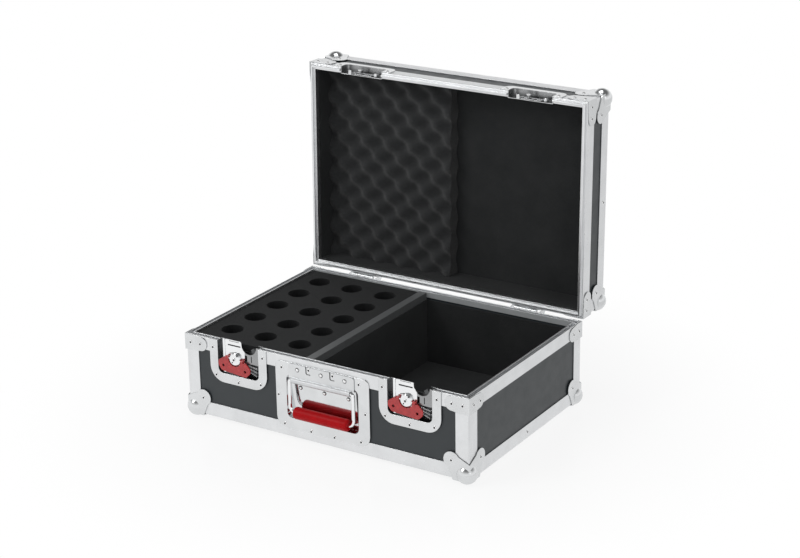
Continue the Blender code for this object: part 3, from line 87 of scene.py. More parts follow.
# Name, place, size in metres and power in watts
LAMPS = (
    ("key", (-1.9, -2.3, 2.7), 1.3, 26.5),
    ("fill", (2.9, -1.4, 2.0), 1.6, 8.0),
    ("top", (-0.3, 0.3, 3.4), 1.5, 20.0),
)
LAMP_AIM = Vector((0.0, 0.0, 0.15))

# Edges and creases
TINY = 0.00005
EDGE_ROUNDING = 0.0003
WELD_DISTANCE = 0.000004
ROUNDING_STEPS = 2
FLAT_ANGLE = math.radians(0.6)
SHARP_ANGLE = math.radians(32)
CREASE_ANGLE = math.radians(35)
RIVET_CREASE = math.radians(40)
FOAM_CREASE = math.radians(60)

# Rivets: their places from the edges, and how far the pressed flanges' faces stand out
FLANGE_FACE = 0.00125
RIVET_RADIUS = 0.0030
RIVET_SEGMENTS = 20
PETAL_RIVET = 0.030
BRACE_RIVET_DROP = 0.0137
BRACE_RIVET_NEAR = 0.0100
BRACE_RIVET_FAR = 0.0287
EDGE_RIVET = 0.0118
OUTWARD = (0, -1, 0)

# Where the case's edges, hinges and latches are
JOINTS = {joint["name"]: joint for joint in frame["joints"]}
NODES = frame["nodes"]
SIDES = ("left", "right")
HINGE = Vector(JOINTS["lid_hinge"]["pos_m"])
LID_ANGLE = math.radians(JOINTS["lid_hinge"]["range_deg"][1])
LID_SWING = Matrix.Translation(HINGE) @ Matrix.Rotation(-LID_ANGLE, 4, "X") @ Matrix.Translation(-HINGE)
LID_SHUT = LID_SWING.inverted()


def shut_box(node):
    """The lowest and highest corner of a lid node with the lid shut."""
    points = [LID_SHUT @ vertex.co for vertex in NODES[node].data.vertices]
    low = Vector([min(point[axis] for point in points) for axis in range(3)])
    high = Vector([max(point[axis] for point in points) for axis in range(3)])
    return low, high


BASE_LOW, BASE_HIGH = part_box("base_edge_frame")
HALF_WIDTH = BASE_HIGH.x
FRONT = BASE_LOW.y
BACK = BASE_HIGH.y
MIDDLE_Y = (FRONT + BACK) / 2
HALF_DEPTH = (BACK - FRONT) / 2
BOTTOM = BASE_LOW.z
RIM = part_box("base_rim")[1].z
LID_RIM = shut_box("lid_rim")[0].z
LID_TOP = shut_box("lid_edge_frame")[1].z
LATCH_X = sum(corner.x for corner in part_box("latch_dish_right")) / 2
PLATE_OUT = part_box("base_brace_back_right")[1].x - HALF_WIDTH


# Shader nodes

SPREAD_STARTS = 0.3
SPREAD_ENDS = 0.7


def new_material(name):
    """An empty node material with its Principled shader."""
    made = bpy.data.materials.new(name)
    made.use_nodes = True
    tree = made.node_tree
    return made, tree, tree.nodes["Principled BSDF"]


def add(tree, kind, **settings):
    """A node with its properties set."""
    node = tree.nodes.new(kind)
    for key, value in settings.items():
        setattr(node, key, value)
    return node


def set_inputs(node, **values):
    """Sets sockets by name, where an underscore stands for a space."""
    for key, value in values.items():
        node.inputs[key.replace("_", " ")].default_value = value


def object_point(tree, stretch=(1, 1, 1)):
    """Object coordinates, stretched along the axes."""
    source = add(tree, "ShaderNodeTexCoord")
    mapping = add(tree, "ShaderNodeMapping")
    mapping.inputs["Scale"].default_value = stretch
    tree.links.new(source.outputs["Object"], mapping.inputs["Vector"])
    return mapping.outputs["Vector"]


def grain(tree, scale, detail=2, roughness=0.5, stretch=(1, 1, 1)):
    """A noise value between 0 and 1; the scale is in waves per metre."""
    node = add(tree, "ShaderNodeTexNoise")
    set_inputs(node, Scale=scale, Detail=detail, Roughness=roughness)
    tree.links.new(object_point(tree, stretch), node.inputs["Vector"])
    return node.outputs["Fac"]


def ramp(tree, value, low, high, start=SPREAD_STARTS, end=SPREAD_ENDS, kind="LINEAR"):
    """A value spread between two others."""
    node = add(tree, "ShaderNodeMapRange", interpolation_type=kind)
    set_inputs(node, From_Min=start, From_Max=end, To_Min=low, To_Max=high)
    tree.links.new(value, node.inputs["Value"])
    return node.outputs["Result"]


def colours(tree, value, low, high, start=SPREAD_STARTS, end=SPREAD_ENDS):
    """A colour spread between two others."""
    node = add(tree, "ShaderNodeValToRGB")
    for point, place, colour in zip(node.color_ramp.elements, (start, end), (low, high)):
        point.position = place
        point.color = (*colour, 1)
    tree.links.new(value, node.inputs["Fac"])
    return node.outputs["Color"]


def darkened(tree, base, shade, share):
    """A colour multiplied by another, as far as the share says."""
    mix = add(tree, "ShaderNodeMix", data_type="RGBA", blend_type="MULTIPLY")
    mix.inputs["Factor"].default_value = share
    tree.links.new(base, mix.inputs["A"])
    tree.links.new(shade, mix.inputs["B"])
    return mix.outputs["Result"]


def blended(tree, share, start, end):
    """A value between two others, each a number or an output, by a share from 0 to 1."""
    mix = add(tree, "ShaderNodeMix", data_type="FLOAT")
    tree.links.new(share, mix.inputs["Factor"])
    for socket, value in (("A", start), ("B", end)):
        if isinstance(value, float):
            mix.inputs[socket].default_value = value
        else:
            tree.links.new(value, mix.inputs[socket])
    return mix.outputs["Result"]


def combined(tree, operation, first, second):
    """Two values put together by an operation of arithmetic."""
    node = add(tree, "ShaderNodeMath", operation=operation)
    tree.links.new(first, node.inputs[0])
    tree.links.new(second, node.inputs[1])
    return node.outputs[0]


def axis_value(tree, point, axis):
    """One coordinate of a point."""
    parts = add(tree, "ShaderNodeSeparateXYZ")
    tree.links.new(point, parts.inputs[0])
    return parts.outputs[axis]


def bump(tree, shader, heights):
    """Bumps from a list of (height value, distance in metres, strength)."""
    below = None
    for height, distance, strength in heights:
        node = add(tree, "ShaderNodeBump")
        set_inputs(node, Strength=strength, Distance=distance)
        tree.links.new(height, node.inputs["Height"])
        if below is not None:
            tree.links.new(below, node.inputs["Normal"])
        below = node.outputs["Normal"]
    tree.links.new(below, shader.inputs["Normal"])


def tinted(colour, share):
    """A colour made lighter or darker by a share."""
    return tuple(min(1.0, part * share) for part in colour)


# Materials: colours run from dark to light, and a bump is a depth in metres and a strength

METAL_GRAIN_BUMP = (0.00002, 0.35)
METAL_WAVE_BUMP = (0.0003, 0.12)
LAMINATE_COLOURS = ((0.0255, 0.0315, 0.0355), (0.0315, 0.0385, 0.0425))
LAMINATE_SPECKS = ((0.6, 0.6, 0.6), (1.0, 1.0, 1.0))
LAMINATE_ROUGHNESS = (0.36, 0.46)
LAMINATE_PEBBLE_BUMP = (0.00005, 0.5)
LAMINATE_WAVE_BUMP = (0.0004, 0.1)
RED_PAINT_COLOURS = ((0.40, 0.022, 0.026), (0.56, 0.040, 0.042))
RED_PAINT_ROUGHNESS = (0.30, 0.42)
RED_PAINT_BUMP = (0.00008, 0.4)
RED_RUBBER_COLOURS = ((0.40, 0.001, 0.003), (0.50, 0.001, 0.005))
RED_RUBBER_ROUGHNESS = (0.36, 0.50)
RED_RUBBER_BUMP = (0.00004, 0.4)
FOAM_CELLS = 900.0
FOAM_ROUGHNESS = 0.95
FOAM_PORE_BUMP = (0.0006, 0.5)
FOAM_WAVE_BUMP = (0.0015, 0.25)
FELT_COLOURS = ((0.0225, 0.0242, 0.0250), (0.0358, 0.0376, 0.0386))
FELT_FIBRE_SHADES = ((0.45, 0.45, 0.46), (1.0, 1.0, 1.0))
FELT_ROUGHNESS = 0.92
FELT_FIBRE_BUMP = (0.0004, 0.6)
FELT_PATCH_BUMP = (0.0006, 0.3)
GREY_PLASTIC_COLOURS = ((0.082, 0.086, 0.088), (0.106, 0.110, 0.112))
GREY_PLASTIC_ROUGHNESS = (0.38, 0.5)
GREY_PLASTIC_BUMP = (0.00005, 0.3)
# Near black: dark steel, and painted shade in holes, slots and grooves
DARK_STEEL_AND_PAINTED_SHADE_COLOURS = ((0.004, 0.004, 0.005), (0.012, 0.012, 0.013))
DARK_STEEL_ROUGHNESS = (0.75, 0.9)
DARK_STEEL_BUMP = (0.0001, 0.4)


def metal(name, colour, roughness, spread=0.05, cloud=0.04, bare=1.0):
    """A bare metal with clouded gloss and fine grain."""
    made, tree, shader = new_material(name)
    shader.inputs["Metallic"].default_value = bare
    clouds = grain(tree, scale=38, detail=3)
    tone = colours(tree, clouds, tinted(colour, 1 - cloud), tinted(colour, 1 + cloud))
    tree.links.new(tone, shader.inputs["Base Color"])
    lines = grain(tree, scale=900, detail=2, roughness=0.6)
    worn = grain(tree, scale=120, detail=4, roughness=0.6)
    fine = ramp(tree, lines, -spread, spread)
    coarse = ramp(tree, worn, roughness - spread, roughness + spread)
    tree.links.new(combined(tree, "ADD", fine, coarse), shader.inputs["Roughness"])
    waves = grain(tree, scale=22, detail=1)
    bump(tree, shader, [(lines, *METAL_GRAIN_BUMP), (waves, *METAL_WAVE_BUMP)])
    return made


def laminate():
    """Dark grey phenolic laminate with a very fine pebble."""
    made, tree, shader = new_material("laminate")
    speck = grain(tree, scale=1500, detail=2, roughness=0.7)
    clouds = grain(tree, scale=16, detail=4, roughness=0.6)
    base = colours(tree, clouds, *LAMINATE_COLOURS, start=0.25, end=0.75)
    tone = darkened(tree, base, colours(tree, speck, *LAMINATE_SPECKS), share=0.35)
    tree.links.new(tone, shader.inputs["Base Color"])
    gloss = ramp(tree, grain(tree, scale=60, detail=4), *LAMINATE_ROUGHNESS)
    tree.links.new(gloss, shader.inputs["Roughness"])
    waves = grain(tree, scale=9, detail=1)
    bump(tree, shader, [(speck, *LAMINATE_PEBBLE_BUMP), (waves, *LAMINATE_WAVE_BUMP)])
    return made


def red_paint():
    """The red coating of the folding wings, slightly orange-peeled."""
    made, tree, shader = new_material("red_paint")
    cloud = grain(tree, scale=160, detail=4, roughness=0.65)
    tree.links.new(colours(tree, cloud, *RED_PAINT_COLOURS), shader.inputs["Base Color"])
    tree.links.new(ramp(tree, cloud, *RED_PAINT_ROUGHNESS), shader.inputs["Roughness"])
    set_inputs(shader, Coat_Weight=0.25, Coat_Roughness=0.2)
    bump(tree, shader, [(grain(tree, scale=700), *RED_PAINT_BUMP)])
    return made


def red_rubber():
    """The grip's smooth red rubber with faint moulding grain."""
    made, tree, shader = new_material("red_rubber")
    cloud = grain(tree, scale=90, detail=4, roughness=0.6)
    tree.links.new(colours(tree, cloud, *RED_RUBBER_COLOURS), shader.inputs["Base Color"])
    gloss = ramp(tree, grain(tree, scale=240, detail=3), *RED_RUBBER_ROUGHNESS)
    tree.links.new(gloss, shader.inputs["Roughness"])
    set_inputs(shader, Specular_IOR_Level=0.15)
    bump(tree, shader, [(grain(tree, scale=1200), *RED_RUBBER_BUMP)])
    return made


def foam(name, low, high, sheen=0.15, gloss=0.5):
    """Open-celled foam: pores of about a millimetre in a matt grey skin, darkened as painted shade."""
    made, tree, shader = new_material(name)
    cells = add(tree, "ShaderNodeTexVoronoi")
    set_inputs(cells, Scale=FOAM_CELLS, Randomness=1.0)
    tree.links.new(object_point(tree), cells.inputs["Vector"])
    pores = cells.outputs["Distance"]
    fibres = ramp(tree, grain(tree, scale=2200, detail=3, roughness=0.7), low=0.5, high=1.3)
    both = combined(tree, "MULTIPLY", pores, fibres)
    tone = colours(tree, both, low, high, start=0.05, end=0.65)
    tree.links.new(tone, shader.inputs["Base Color"])
    set_inputs(shader, Roughness=FOAM_ROUGHNESS, Specular_IOR_Level=gloss)
    set_inputs(shader, Sheen_Weight=sheen, Sheen_Roughness=0.6)
    waves = grain(tree, scale=45, detail=3)
    bump(tree, shader, [(pores, *FOAM_PORE_BUMP), (waves, *FOAM_WAVE_BUMP)])
    return made


def felt():
    """The black lining: short fibres with a slight sheen and brushed patches."""
    made, tree, shader = new_material("felt")
    fibres = grain(tree, scale=1400, detail=4, roughness=0.75)
    patches = grain(tree, scale=14, detail=4, roughness=0.6)
    base = colours(tree, patches, *FELT_COLOURS)
    tone = darkened(tree, base, colours(tree, fibres, *FELT_FIBRE_SHADES), share=0.8)
    tree.links.new(tone, shader.inputs["Base Color"])
    set_inputs(shader, Roughness=FELT_ROUGHNESS, Specular_IOR_Level=0.3)
    set_inputs(shader, Sheen_Weight=0.05, Sheen_Roughness=0.45)
    brushed = grain(tree, scale=160, detail=3)
    bump(tree, shader, [(fibres, *FELT_FIBRE_BUMP), (brushed, *FELT_PATCH_BUMP)])
    return made


def grey_plastic():
    """The channel that edges the divider."""
    made, tree, shader = new_material("grey_plastic")
    cloud = grain(tree, scale=200, detail=3)
    tree.links.new(colours(tree, cloud, *GREY_PLASTIC_COLOURS), shader.inputs["Base Color"])
    tree.links.new(ramp(tree, cloud, *GREY_PLASTIC_ROUGHNESS), shader.inputs["Roughness"])
    bump(tree, shader, [(grain(tree, scale=900, stretch=(1, 0.05, 1)), *GREY_PLASTIC_BUMP)])
    return made


def dark_steel_and_painted_shade():
    """The rivets' broken dark steel mandrels, and near black painted shade on the walls of small holes.
    """
    made, tree, shader = new_material("dark_steel_and_painted_shade")
    cloud = grain(tree, scale=900, detail=3)
    tree.links.new(colours(tree, cloud, *DARK_STEEL_AND_PAINTED_SHADE_COLOURS), shader.inputs["Base Color"])
    tree.links.new(ramp(tree, cloud, *DARK_STEEL_ROUGHNESS), shader.inputs["Roughness"])
    set_inputs(shader, Specular_IOR_Level=0.15)
    bump(tree, shader, [(cloud, *DARK_STEEL_BUMP)])
    return made


# Finishes, and painted shade and light, by name; for a metal: colour, roughness and the roughness's
# spread
LOOKS = {
    "laminate": laminate(),
    "extrusion": metal("extrusion", (0.755, 0.765, 0.775), 0.33),
    "pressed": metal("pressed", (0.71, 0.722, 0.73), 0.20),
    "chrome": metal("chrome", (0.86, 0.87, 0.88), 0.11, 0.035, cloud=0.03),
    "steel": metal("steel", (0.695, 0.707, 0.715), 0.24, 0.06),
    "rivet": metal("rivet", (0.86, 0.865, 0.87), 0.18),
    "red_paint": red_paint(),
    "red_rubber": red_rubber(),
    "polished": metal("polished", (0.71, 0.722, 0.73), 0.09, 0.03),
    "satin": metal("satin", (0.70, 0.712, 0.72), 0.34),
    "rolled": metal("rolled", (0.68, 0.69, 0.70), 0.50),
    # Painted shade: a darker grey metal for faces in shade
    "grey_painted_shade": metal("grey_painted_shade", (0.34, 0.345, 0.35), 0.30, 0.06),
    # Painted light: a lighter, half-bare grey for the rim's inner leg
    "half_bare_painted_light": metal("half_bare_painted_light", (0.50, 0.52, 0.53), 0.45, 0.06, bare=0.35),
    # Painted shade: a dark metal for faces in recesses and under parts
    "dark_painted_shade": metal("dark_painted_shade", (0.10, 0.103, 0.106), 0.38, 0.06),
    "foam": foam("foam", (0.0019, 0.0022, 0.0025), (0.0080, 0.0090, 0.0098), 0.04, 0.36),
    "foam_pad": foam("foam_pad", (0.0044, 0.0049, 0.0054), (0.0205, 0.0221, 0.0233)),
    # Painted shade: a darker copy of the pad's foam for its cut walls
    "foam_painted_shade": foam("foam_painted_shade", (0.003, 0.0033, 0.0036), (0.011, 0.012, 0.0125)),
    "felt": felt(),
    "grey_plastic": grey_plastic(),
    # Near black: dark steel of the mandrels, and painted shade in holes, slots, grooves and rings
    "dark_steel_and_painted_shade": dark_steel_and_painted_shade(),
}

# Which finish each family of nodes takes: the first start of a name that fits
FINISHES = (
    (("base_ball", "lid_ball"), "pressed"),
    (("base_brace", "lid_brace"), "steel"),
    (("base_edge", "base_rim", "lid_edge", "lid_rim"), "extrusion"),
    (("base_", "lid_top", "lid_front", "lid_back", "lid_left", "lid_right"), "laminate"),
    (("latch_dish", "keeper"), "pressed"),
    (("handle_dish",), "polished"),
    (("latch_cam", "latch_cover", "handle_bail"), "chrome"),
    (("latch_wing",), "red_paint"),
    (("handle_grip",), "red_rubber"),
    (("handle_plate",), "satin"),
    (("handle_spring", "hinge_"), "steel"),
    (("foam_insert",), "foam"),
    (("lid_foam",), "foam_pad"),
    (("divider_edging",), "grey_plastic"),
    (("compartment_lining", "divider", "lid_lining"), "felt"),
)


def finish_of(node):
    """The finish of a node."""
    return next(look for starts, look in FINISHES if node.startswith(starts))


for node_name, node_object in NODES.items():
    for material_slot in node_object.material_slots:
        material_slot.material = LOOKS[finish_of(node_name)]


# Mesh helpers

def piece(name, bm, looks, body):
    """Turns a bmesh into a piece that rides on a body."""
    bmesh.ops.recalc_face_normals(bm, faces=bm.faces)
    mesh = bpy.data.meshes.new(name)
    bm.to_mesh(mesh)
    bm.free()
    for look in looks:
        mesh.materials.append(LOOKS[look])
    made = bpy.data.objects.new(name, mesh)
    bpy.context.scene.collection.objects.link(made)
    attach(made, body)
    return made


def soften(made, angle=CREASE_ANGLE):
    """Smooth shading with sharp creases kept."""
    made.data.shade_smooth()
    made.data.set_sharp_from_angle(angle=angle)
    return made


def bevelled(made, width, steps=ROUNDING_STEPS):
    """Rounded edges with clean flat faces."""
    bevel = made.modifiers.new("rounding", "BEVEL")
    bevel.width = width
    bevel.segments = steps
    bevel.limit_method = "ANGLE"
    bevel.angle_limit = SHARP_ANGLE
    bevel.miter_outer = "MITER_ARC"
    weighted = made.modifiers.new("flat faces", "WEIGHTED_NORMAL")
    weighted.keep_sharp = True


def skin(bm, rings, material=0):
    """Joins rings of points, given in order, and closes both ends; gives the last end's face."""
    rings = [[bm.verts.new(point) for point in ring] for ring in rings]
    made = []
    for lower, upper in zip(rings, rings[1:]):
        for index in range(len(lower)):
            after = (index + 1) % len(lower)
            made.append(bm.faces.new((lower[index], lower[after], upper[after], upper[index])))
    made.append(bm.faces.new(list(reversed(rings[0]))))
    made.append(bm.faces.new(rings[-1]))
    for face in made:
        face.material_index = material
    return made[-1]


def circle(radius, segments):
    """Points (across, up) round a circle."""
    angles = [math.tau * index / segments for index in range(segments)]
    return [(radius * math.cos(angle), radius * math.sin(angle)) for angle in angles]


def turned(bm, profile, place, segments=RIVET_SEGMENTS, material=0):
    """Adds a closed turned shape from (radius, height) pairs; gives its top face."""
    rings = []
    for radius, height in profile:
        rings.append([place @ Vector((across, up, height)) for across, up in circle(radius, segments)])
    return skin(bm, rings, material)


def tube(bm, points, radius, segments):
    """Adds a rod along a line of points."""
    side = (points[1] - points[0]).orthogonal().normalized()
    rings = []
    for index, point in enumerate(points):
        ahead = points[min(index + 1, len(points) - 1)] - points[max(index - 1, 0)]
        ahead.normalize()
        side = (side - ahead * side.dot(ahead)).normalized()
        up = ahead.cross(side)
        rings.append([point + side * across + up * rise for across, rise in circle(radius, segments)])
    skin(bm, rings)


def prism(bm, outline, near, far, material=0):
    """Adds a flat outline of (x, z) points between two levels of y."""
    skin(bm, [[Vector((x, y, z)) for x, z in outline] for y in (near, far)], material)


def rectangle(left, low, right, high):
    """Four corners of an outline."""
    return [(left, low), (right, low), (right, high), (left, high)]


def strip(start, end, width):
    """An outline along a line, as wide as said."""
    start = Vector(start)
    end = Vector(end)
    side = (end - start).orthogonal().normalized() * width / 2
    return [tuple(corner) for corner in (start - side, end - side, end + side, start + side)]


def carve(made, cutter):
    """Cuts a shape out of a piece's mesh; its walls take the piece's second material."""
    bmesh.ops.recalc_face_normals(cutter, faces=cutter.faces)
    mesh = bpy.data.meshes.new("cutter")
    cutter.to_mesh(mesh)
    cutter.free()
    tool = bpy.data.objects.new("cutter", mesh)
    bpy.context.scene.collection.objects.link(tool)
    cut = made.modifiers.new("cut", "BOOLEAN")
    cut.operation = "DIFFERENCE"
    cut.solver = "EXACT"
    cut.use_self = True
    cut.object = tool
    evaluated = made.evaluated_get(bpy.context.evaluated_depsgraph_get())
    made.data = bpy.data.meshes.new_from_object(evaluated)
    made.modifiers.remove(cut)
    bpy.data.objects.remove(tool)


def facing(point, direction):
    """A matrix that puts local +Z along a direction at a point."""
    turn = Vector(direction).to_track_quat("Z", "Y").to_matrix().to_4x4()
    return Matrix.Translation(point) @ turn


# Refined copies of the case's parts

def copied(node):
    """A welded copy of a node's mesh, with flat areas merged into single faces."""
    bm = bmesh.new()
    bm.from_mesh(NODES[node].data)
    bmesh.ops.remove_doubles(bm, verts=bm.verts, dist=WELD_DISTANCE)
    bmesh.ops.dissolve_limit(bm, angle_limit=FLAT_ANGLE, verts=bm.verts, edges=bm.edges)
    return bm


def refined(node, width):
    """A piece that stands for a node: the same shape with rounded edges and smooth round faces."""
    body = NODES[node]["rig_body"]
    bm = copied(node)
    prepare(bm, node)
    made = piece(f"fine_{node}", bm, [finish_of(node), "dark_steel_and_painted_shade"], body)
    cutter = carving(node)
    if cutter is not None:
        carve(made, cutter)
    tone_faces(made, node)
    bevelled(soften(made, SHARP_ANGLE), width)
    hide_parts(node)


# Rivets: profiles are shares of the rivet's radius

POP_PROFILE_SHARES = ((1.0, -0.05), (1.0, 0.10), (0.93, 0.20), (0.80, 0.27), (0.66, 0.30), (0.56, 0.31))
POP_HOLLOW_RIM = 0.02
POP_HOLLOW_DEPTH = 0.02
TALL_DOME_SHARES = ((0.97, -0.05), (0.97, 0.62), (0.90, 0.82), (0.74, 0.98), (0.50, 1.09), (0.22, 1.14))
RING_SHARES = ((1.0, -0.05), (1.0, 0.05))
RINGED_DOME_SHARES = ((0.74, 0.0), (0.74, 0.16), (0.66, 0.34), (0.48, 0.48), (0.24, 0.55))


def scaled(shares, radius):
    """A profile of shares made real."""
    return [(radius * across, radius * up) for across, up in shares]


def pop_rivet(bm, point, direction, radius):
    """A blind rivet's flange with its hollow and the dark stub in it; the hollow is painted shade."""
    place = facing(point, direction)
    top = turned(bm, scaled(POP_PROFILE_SHARES, radius), place)
    bowl = bmesh.ops.inset_individual(bm, faces=[top], thickness=radius * POP_HOLLOW_RIM)
    down = place.to_3x3() @ Vector((0, 0, -radius * POP_HOLLOW_DEPTH))
    bmesh.ops.translate(bm, verts=top.verts, vec=down)
    for face in bowl["faces"]:
        face.material_index = 1
    top.material_index = 1


def tall_dome_rivet(bm, point, direction, radius):
    """A round-headed rivet that stands in a plate's hole."""
    turned(bm, scaled(TALL_DOME_SHARES, radius), facing(point, direction))


def ringed_dome_rivet(bm, point, direction, radius):
    """A round head on a dark ring: painted shade where the head meets the dish."""
    turned(bm, scaled(RING_SHARES, radius), facing(point, direction), material=1)
    turned(bm, scaled(RINGED_DOME_SHARES, radius), facing(point, direction))


def rivets(name, body, places, shape=pop_rivet, radius=RIVET_RADIUS):
    """One piece with every rivet of a group; places are (point, direction) pairs."""
    bm = bmesh.new()
    for point, direction in places:
        shape(bm, Vector(point), Vector(direction), radius)
    soften(piece(name, bm, ["rivet", "dark_steel_and_painted_shade"], body), RIVET_CREASE)


def on_front(outline, proud):
    """Rivet places on the case's front, as far out of it as said."""
    return [((x, FRONT - proud, z), OUTWARD) for x, z in outline]


def on_lid(places):
    """The same places with the lid swung open."""
    turn = LID_SWING.to_3x3()
    return [(LID_SWING @ Vector(point), turn @ Vector(direction)) for point, direction in places]


def corner_places(x_side, y_side, level, distances, drop):
    """Places on the two upright faces at a corner, at distances along from it."""
    z = level + drop
    out = PLATE_OUT - TINY
    places = []
    for distance in distances:
        x = x_side * (HALF_WIDTH - distance)
        places.append(((x, MIDDLE_Y + y_side * (HALF_DEPTH + out), z), (0, y_side, 0)))
        y = MIDDLE_Y + y_side * (HALF_DEPTH - distance)
        places.append(((x_side * (HALF_WIDTH + out), y, z), (x_side, 0, 0)))
    return places


def corner_rivets():
    """The rivets of the ball corners and rim braces on the base and the lid."""
    near_far = (BRACE_RIVET_NEAR, BRACE_RIVET_FAR)
    base = []
    lid = []
    for x_side in (-1, 1):
        for y_side in (-1, 1):
            base += corner_places(x_side, y_side, BOTTOM, (PETAL_RIVET,), PETAL_RIVET)
            base += corner_places(x_side, y_side, RIM, near_far, -BRACE_RIVET_DROP)
            lid += corner_places(x_side, y_side, LID_TOP, (PETAL_RIVET,), -PETAL_RIVET)
            lid += corner_places(x_side, y_side, LID_RIM, near_far, BRACE_RIVET_DROP)
            x = x_side * (HALF_WIDTH - PETAL_RIVET)
            y = MIDDLE_Y + y_side * (HALF_DEPTH - PETAL_RIVET)
            base.append(((x, y, BOTTOM - PLATE_OUT + TINY), (0, 0, -1)))
            lid.append(((x, y, LID_TOP + PLATE_OUT - TINY), (0, 0, 1)))
    rivets("rivets_base_corners", "base", base)
    rivets("rivets_lid_corners", "lid", on_lid(lid))


def edge_rivets():
    """The rivets along the extrusions of the sides and the back."""
    base = []
    lid = []
    for x_side in (-1, 1):
        face = x_side * (HALF_WIDTH - TINY)
        base.append(((face, MIDDLE_Y, BOTTOM + EDGE_RIVET), (x_side, 0, 0)))
        lid.append(((face, MIDDLE_Y, LID_TOP - EDGE_RIVET), (x_side, 0, 0)))
        for level, group in ((BOTTOM, base), (LID_TOP, lid)):
            x = x_side * (HALF_WIDTH - EDGE_RIVET)
            up = -1 if level == BOTTOM else 1
            group.append(((x, MIDDLE_Y, level - up * TINY), (0, 0, up)))
        x = x_side * HALF_WIDTH / 3
        base.append(((x, BACK - TINY, BOTTOM + EDGE_RIVET), (0, 1, 0)))
        lid.append(((x, BACK - TINY, LID_TOP - EDGE_RIVET), (0, 1, 0)))
    rivets("rivets_base_edges", "base", base)
    rivets("rivets_lid_edges", "lid", on_lid(lid))


# Twist latches: places are across from the latch's middle and up from the rim

LATCH_RIVETS = (
    (-0.0477, -0.0132),
    (0.0477, -0.0132),
    (-0.0430, -0.0590),
    (0.0430, -0.0590),
    (0.0, -0.0644),
)
KEEPER_RIVETS = ((-0.0462, 0.0120), (0.0462, 0.0120))
CAM_PLACE = (-0.0050, -0.0255)
BOSS_PROUD = 0.0045
SCREW_PROFILE = (
    (0.0030, -0.0002),
    (0.0030, 0.0005),
    (0.0026, 0.0010),
    (0.0018, 0.0013),
    (0.0008, 0.0014),
)
SCREW_CROSS = 0.0036
SCREW_SLOT = 0.0016
SCREW_RECESS = 0.0010
# Across, up and radius
BOSS_MARK = (-0.0036, -0.0052, 0.0012)
BOSS_MARK_DEPTH = 0.0012
# Start, end and width, as for the slits and slots below
BOSS_NOTCH = ((0.0040, 0.0056), (0.0085, 0.0100), 0.0013)
BOSS_NOTCH_DEPTH = 0.0016
COVER_FRONT = 0.0006
COVER_BACK = 0.0018
COVER_EDGE = -0.0250
COVER_SLITS = (
    ((-0.0170, 0.0029), (0.0020, 0.0029), 0.0008),
    ((-0.0172, -0.0182), (-0.0050, -0.0150), 0.0011),
    ((-0.0196, -0.0040), (0.0046, -0.0040), 0.0021),
    ((0.0248, -0.0155), (0.0248, -0.0262), 0.0014),
)
LIP_LEFT = -0.0298
LIP_GAP = 0.0006
LIP_BACK = 0.0036
LIP_FOOT = 0.0098
LIP_WALL = 0.0010
LIP_TOP = 0.0045
LIP_WALL_TOP = -0.0040
LIP_BOTTOM = -0.0520
SPRINGS = (
    ((0.0190, -0.0322), (0.0350, -0.0350)),
    ((0.0190, -0.0365), (0.0350, -0.0412)),
    ((0.0188, -0.0410), (0.0348, -0.0475)),
)
SPRING_BACK = 0.0015
SPRING_RADIUS = 0.0014
SPRING_LEAD = 0.0048
SPRING_WIRE = 0.00042
SPRING_WIRE_SIDES = 6
SPRING_TURNS = 9
SPRING_STEPS = 10


def latch_middle(side):
    """The x of a latch's middle."""
    return -LATCH_X if side == "left" else LATCH_X


def latch_point(side, across, up, back):
    """A point by its place on a latch and its depth behind the case's front."""
    return Vector((latch_middle(side) + across, FRONT + back, RIM + up))


def latch_outline(side, outline, level=RIM):
    """An outline of places on a latch, or on a keeper from the lid's rim, in the scene's x and z."""
    return [(latch_middle(side) + across, level + up) for across, up in outline]


def boss_place(side, across=0, up=0):
    """The matrix of a place on the turning boss's front face; its z is out of the case."""
    return facing(latch_point(side, CAM_PLACE[0] + across, CAM_PLACE[1] + up, -BOSS_PROUD), OUTWARD)


def cam_carving(side):
    """The notch in a boss's face and the punched mark beside its screw, walls in painted shade."""
    cutter = bmesh.new()
    across, up, radius = BOSS_MARK
    profile = ((radius, -BOSS_MARK_DEPTH), (radius, BOSS_MARK_DEPTH))
    turned(cutter, profile, boss_place(side, across, up), material=1)
    start, end, width = BOSS_NOTCH
    places = [(CAM_PLACE[0] + x, CAM_PLACE[1] + z) for x, z in strip(start, end, width)]
    front = FRONT - BOSS_PROUD
    prism(cutter, latch_outline(side, places), front - BOSS_NOTCH_DEPTH, front + BOSS_NOTCH_DEPTH, 1)
    return cutter


def cover_carving(side):
    """The thin slits in a cover plate, their walls in painted shade."""
    cutter = bmesh.new()
    for start, end, width in COVER_SLITS:
        outline = latch_outline(side, strip(start, end, width))
        prism(cutter, outline, FRONT + COVER_FRONT - LIP_GAP, FRONT + COVER_BACK + LIP_GAP, 1)
    return cutter


def cross_screw(name, body, place):
    """A pan-head screw with a cross recess, placed by the matrix of its seat; the recess is painted
    shade.
    """
    bm = bmesh.new()
    turned(bm, SCREW_PROFILE, place)
    made = piece(name, bm, ["chrome", "dark_steel_and_painted_shade"], body)
    cutter = bmesh.new()
    top = SCREW_PROFILE[-1][1]
    reach = SCREW_CROSS / 2
    for end in ((reach, 0), (0, reach)):
        outline = strip((-end[0], -end[1]), end, SCREW_SLOT)
        levels = (top - SCREW_RECESS, top + SCREW_RECESS)
        skin(cutter, [[place @ Vector((x, y, z)) for x, y in outline] for z in levels], 1)
    carve(made, cutter)
    soften(made)


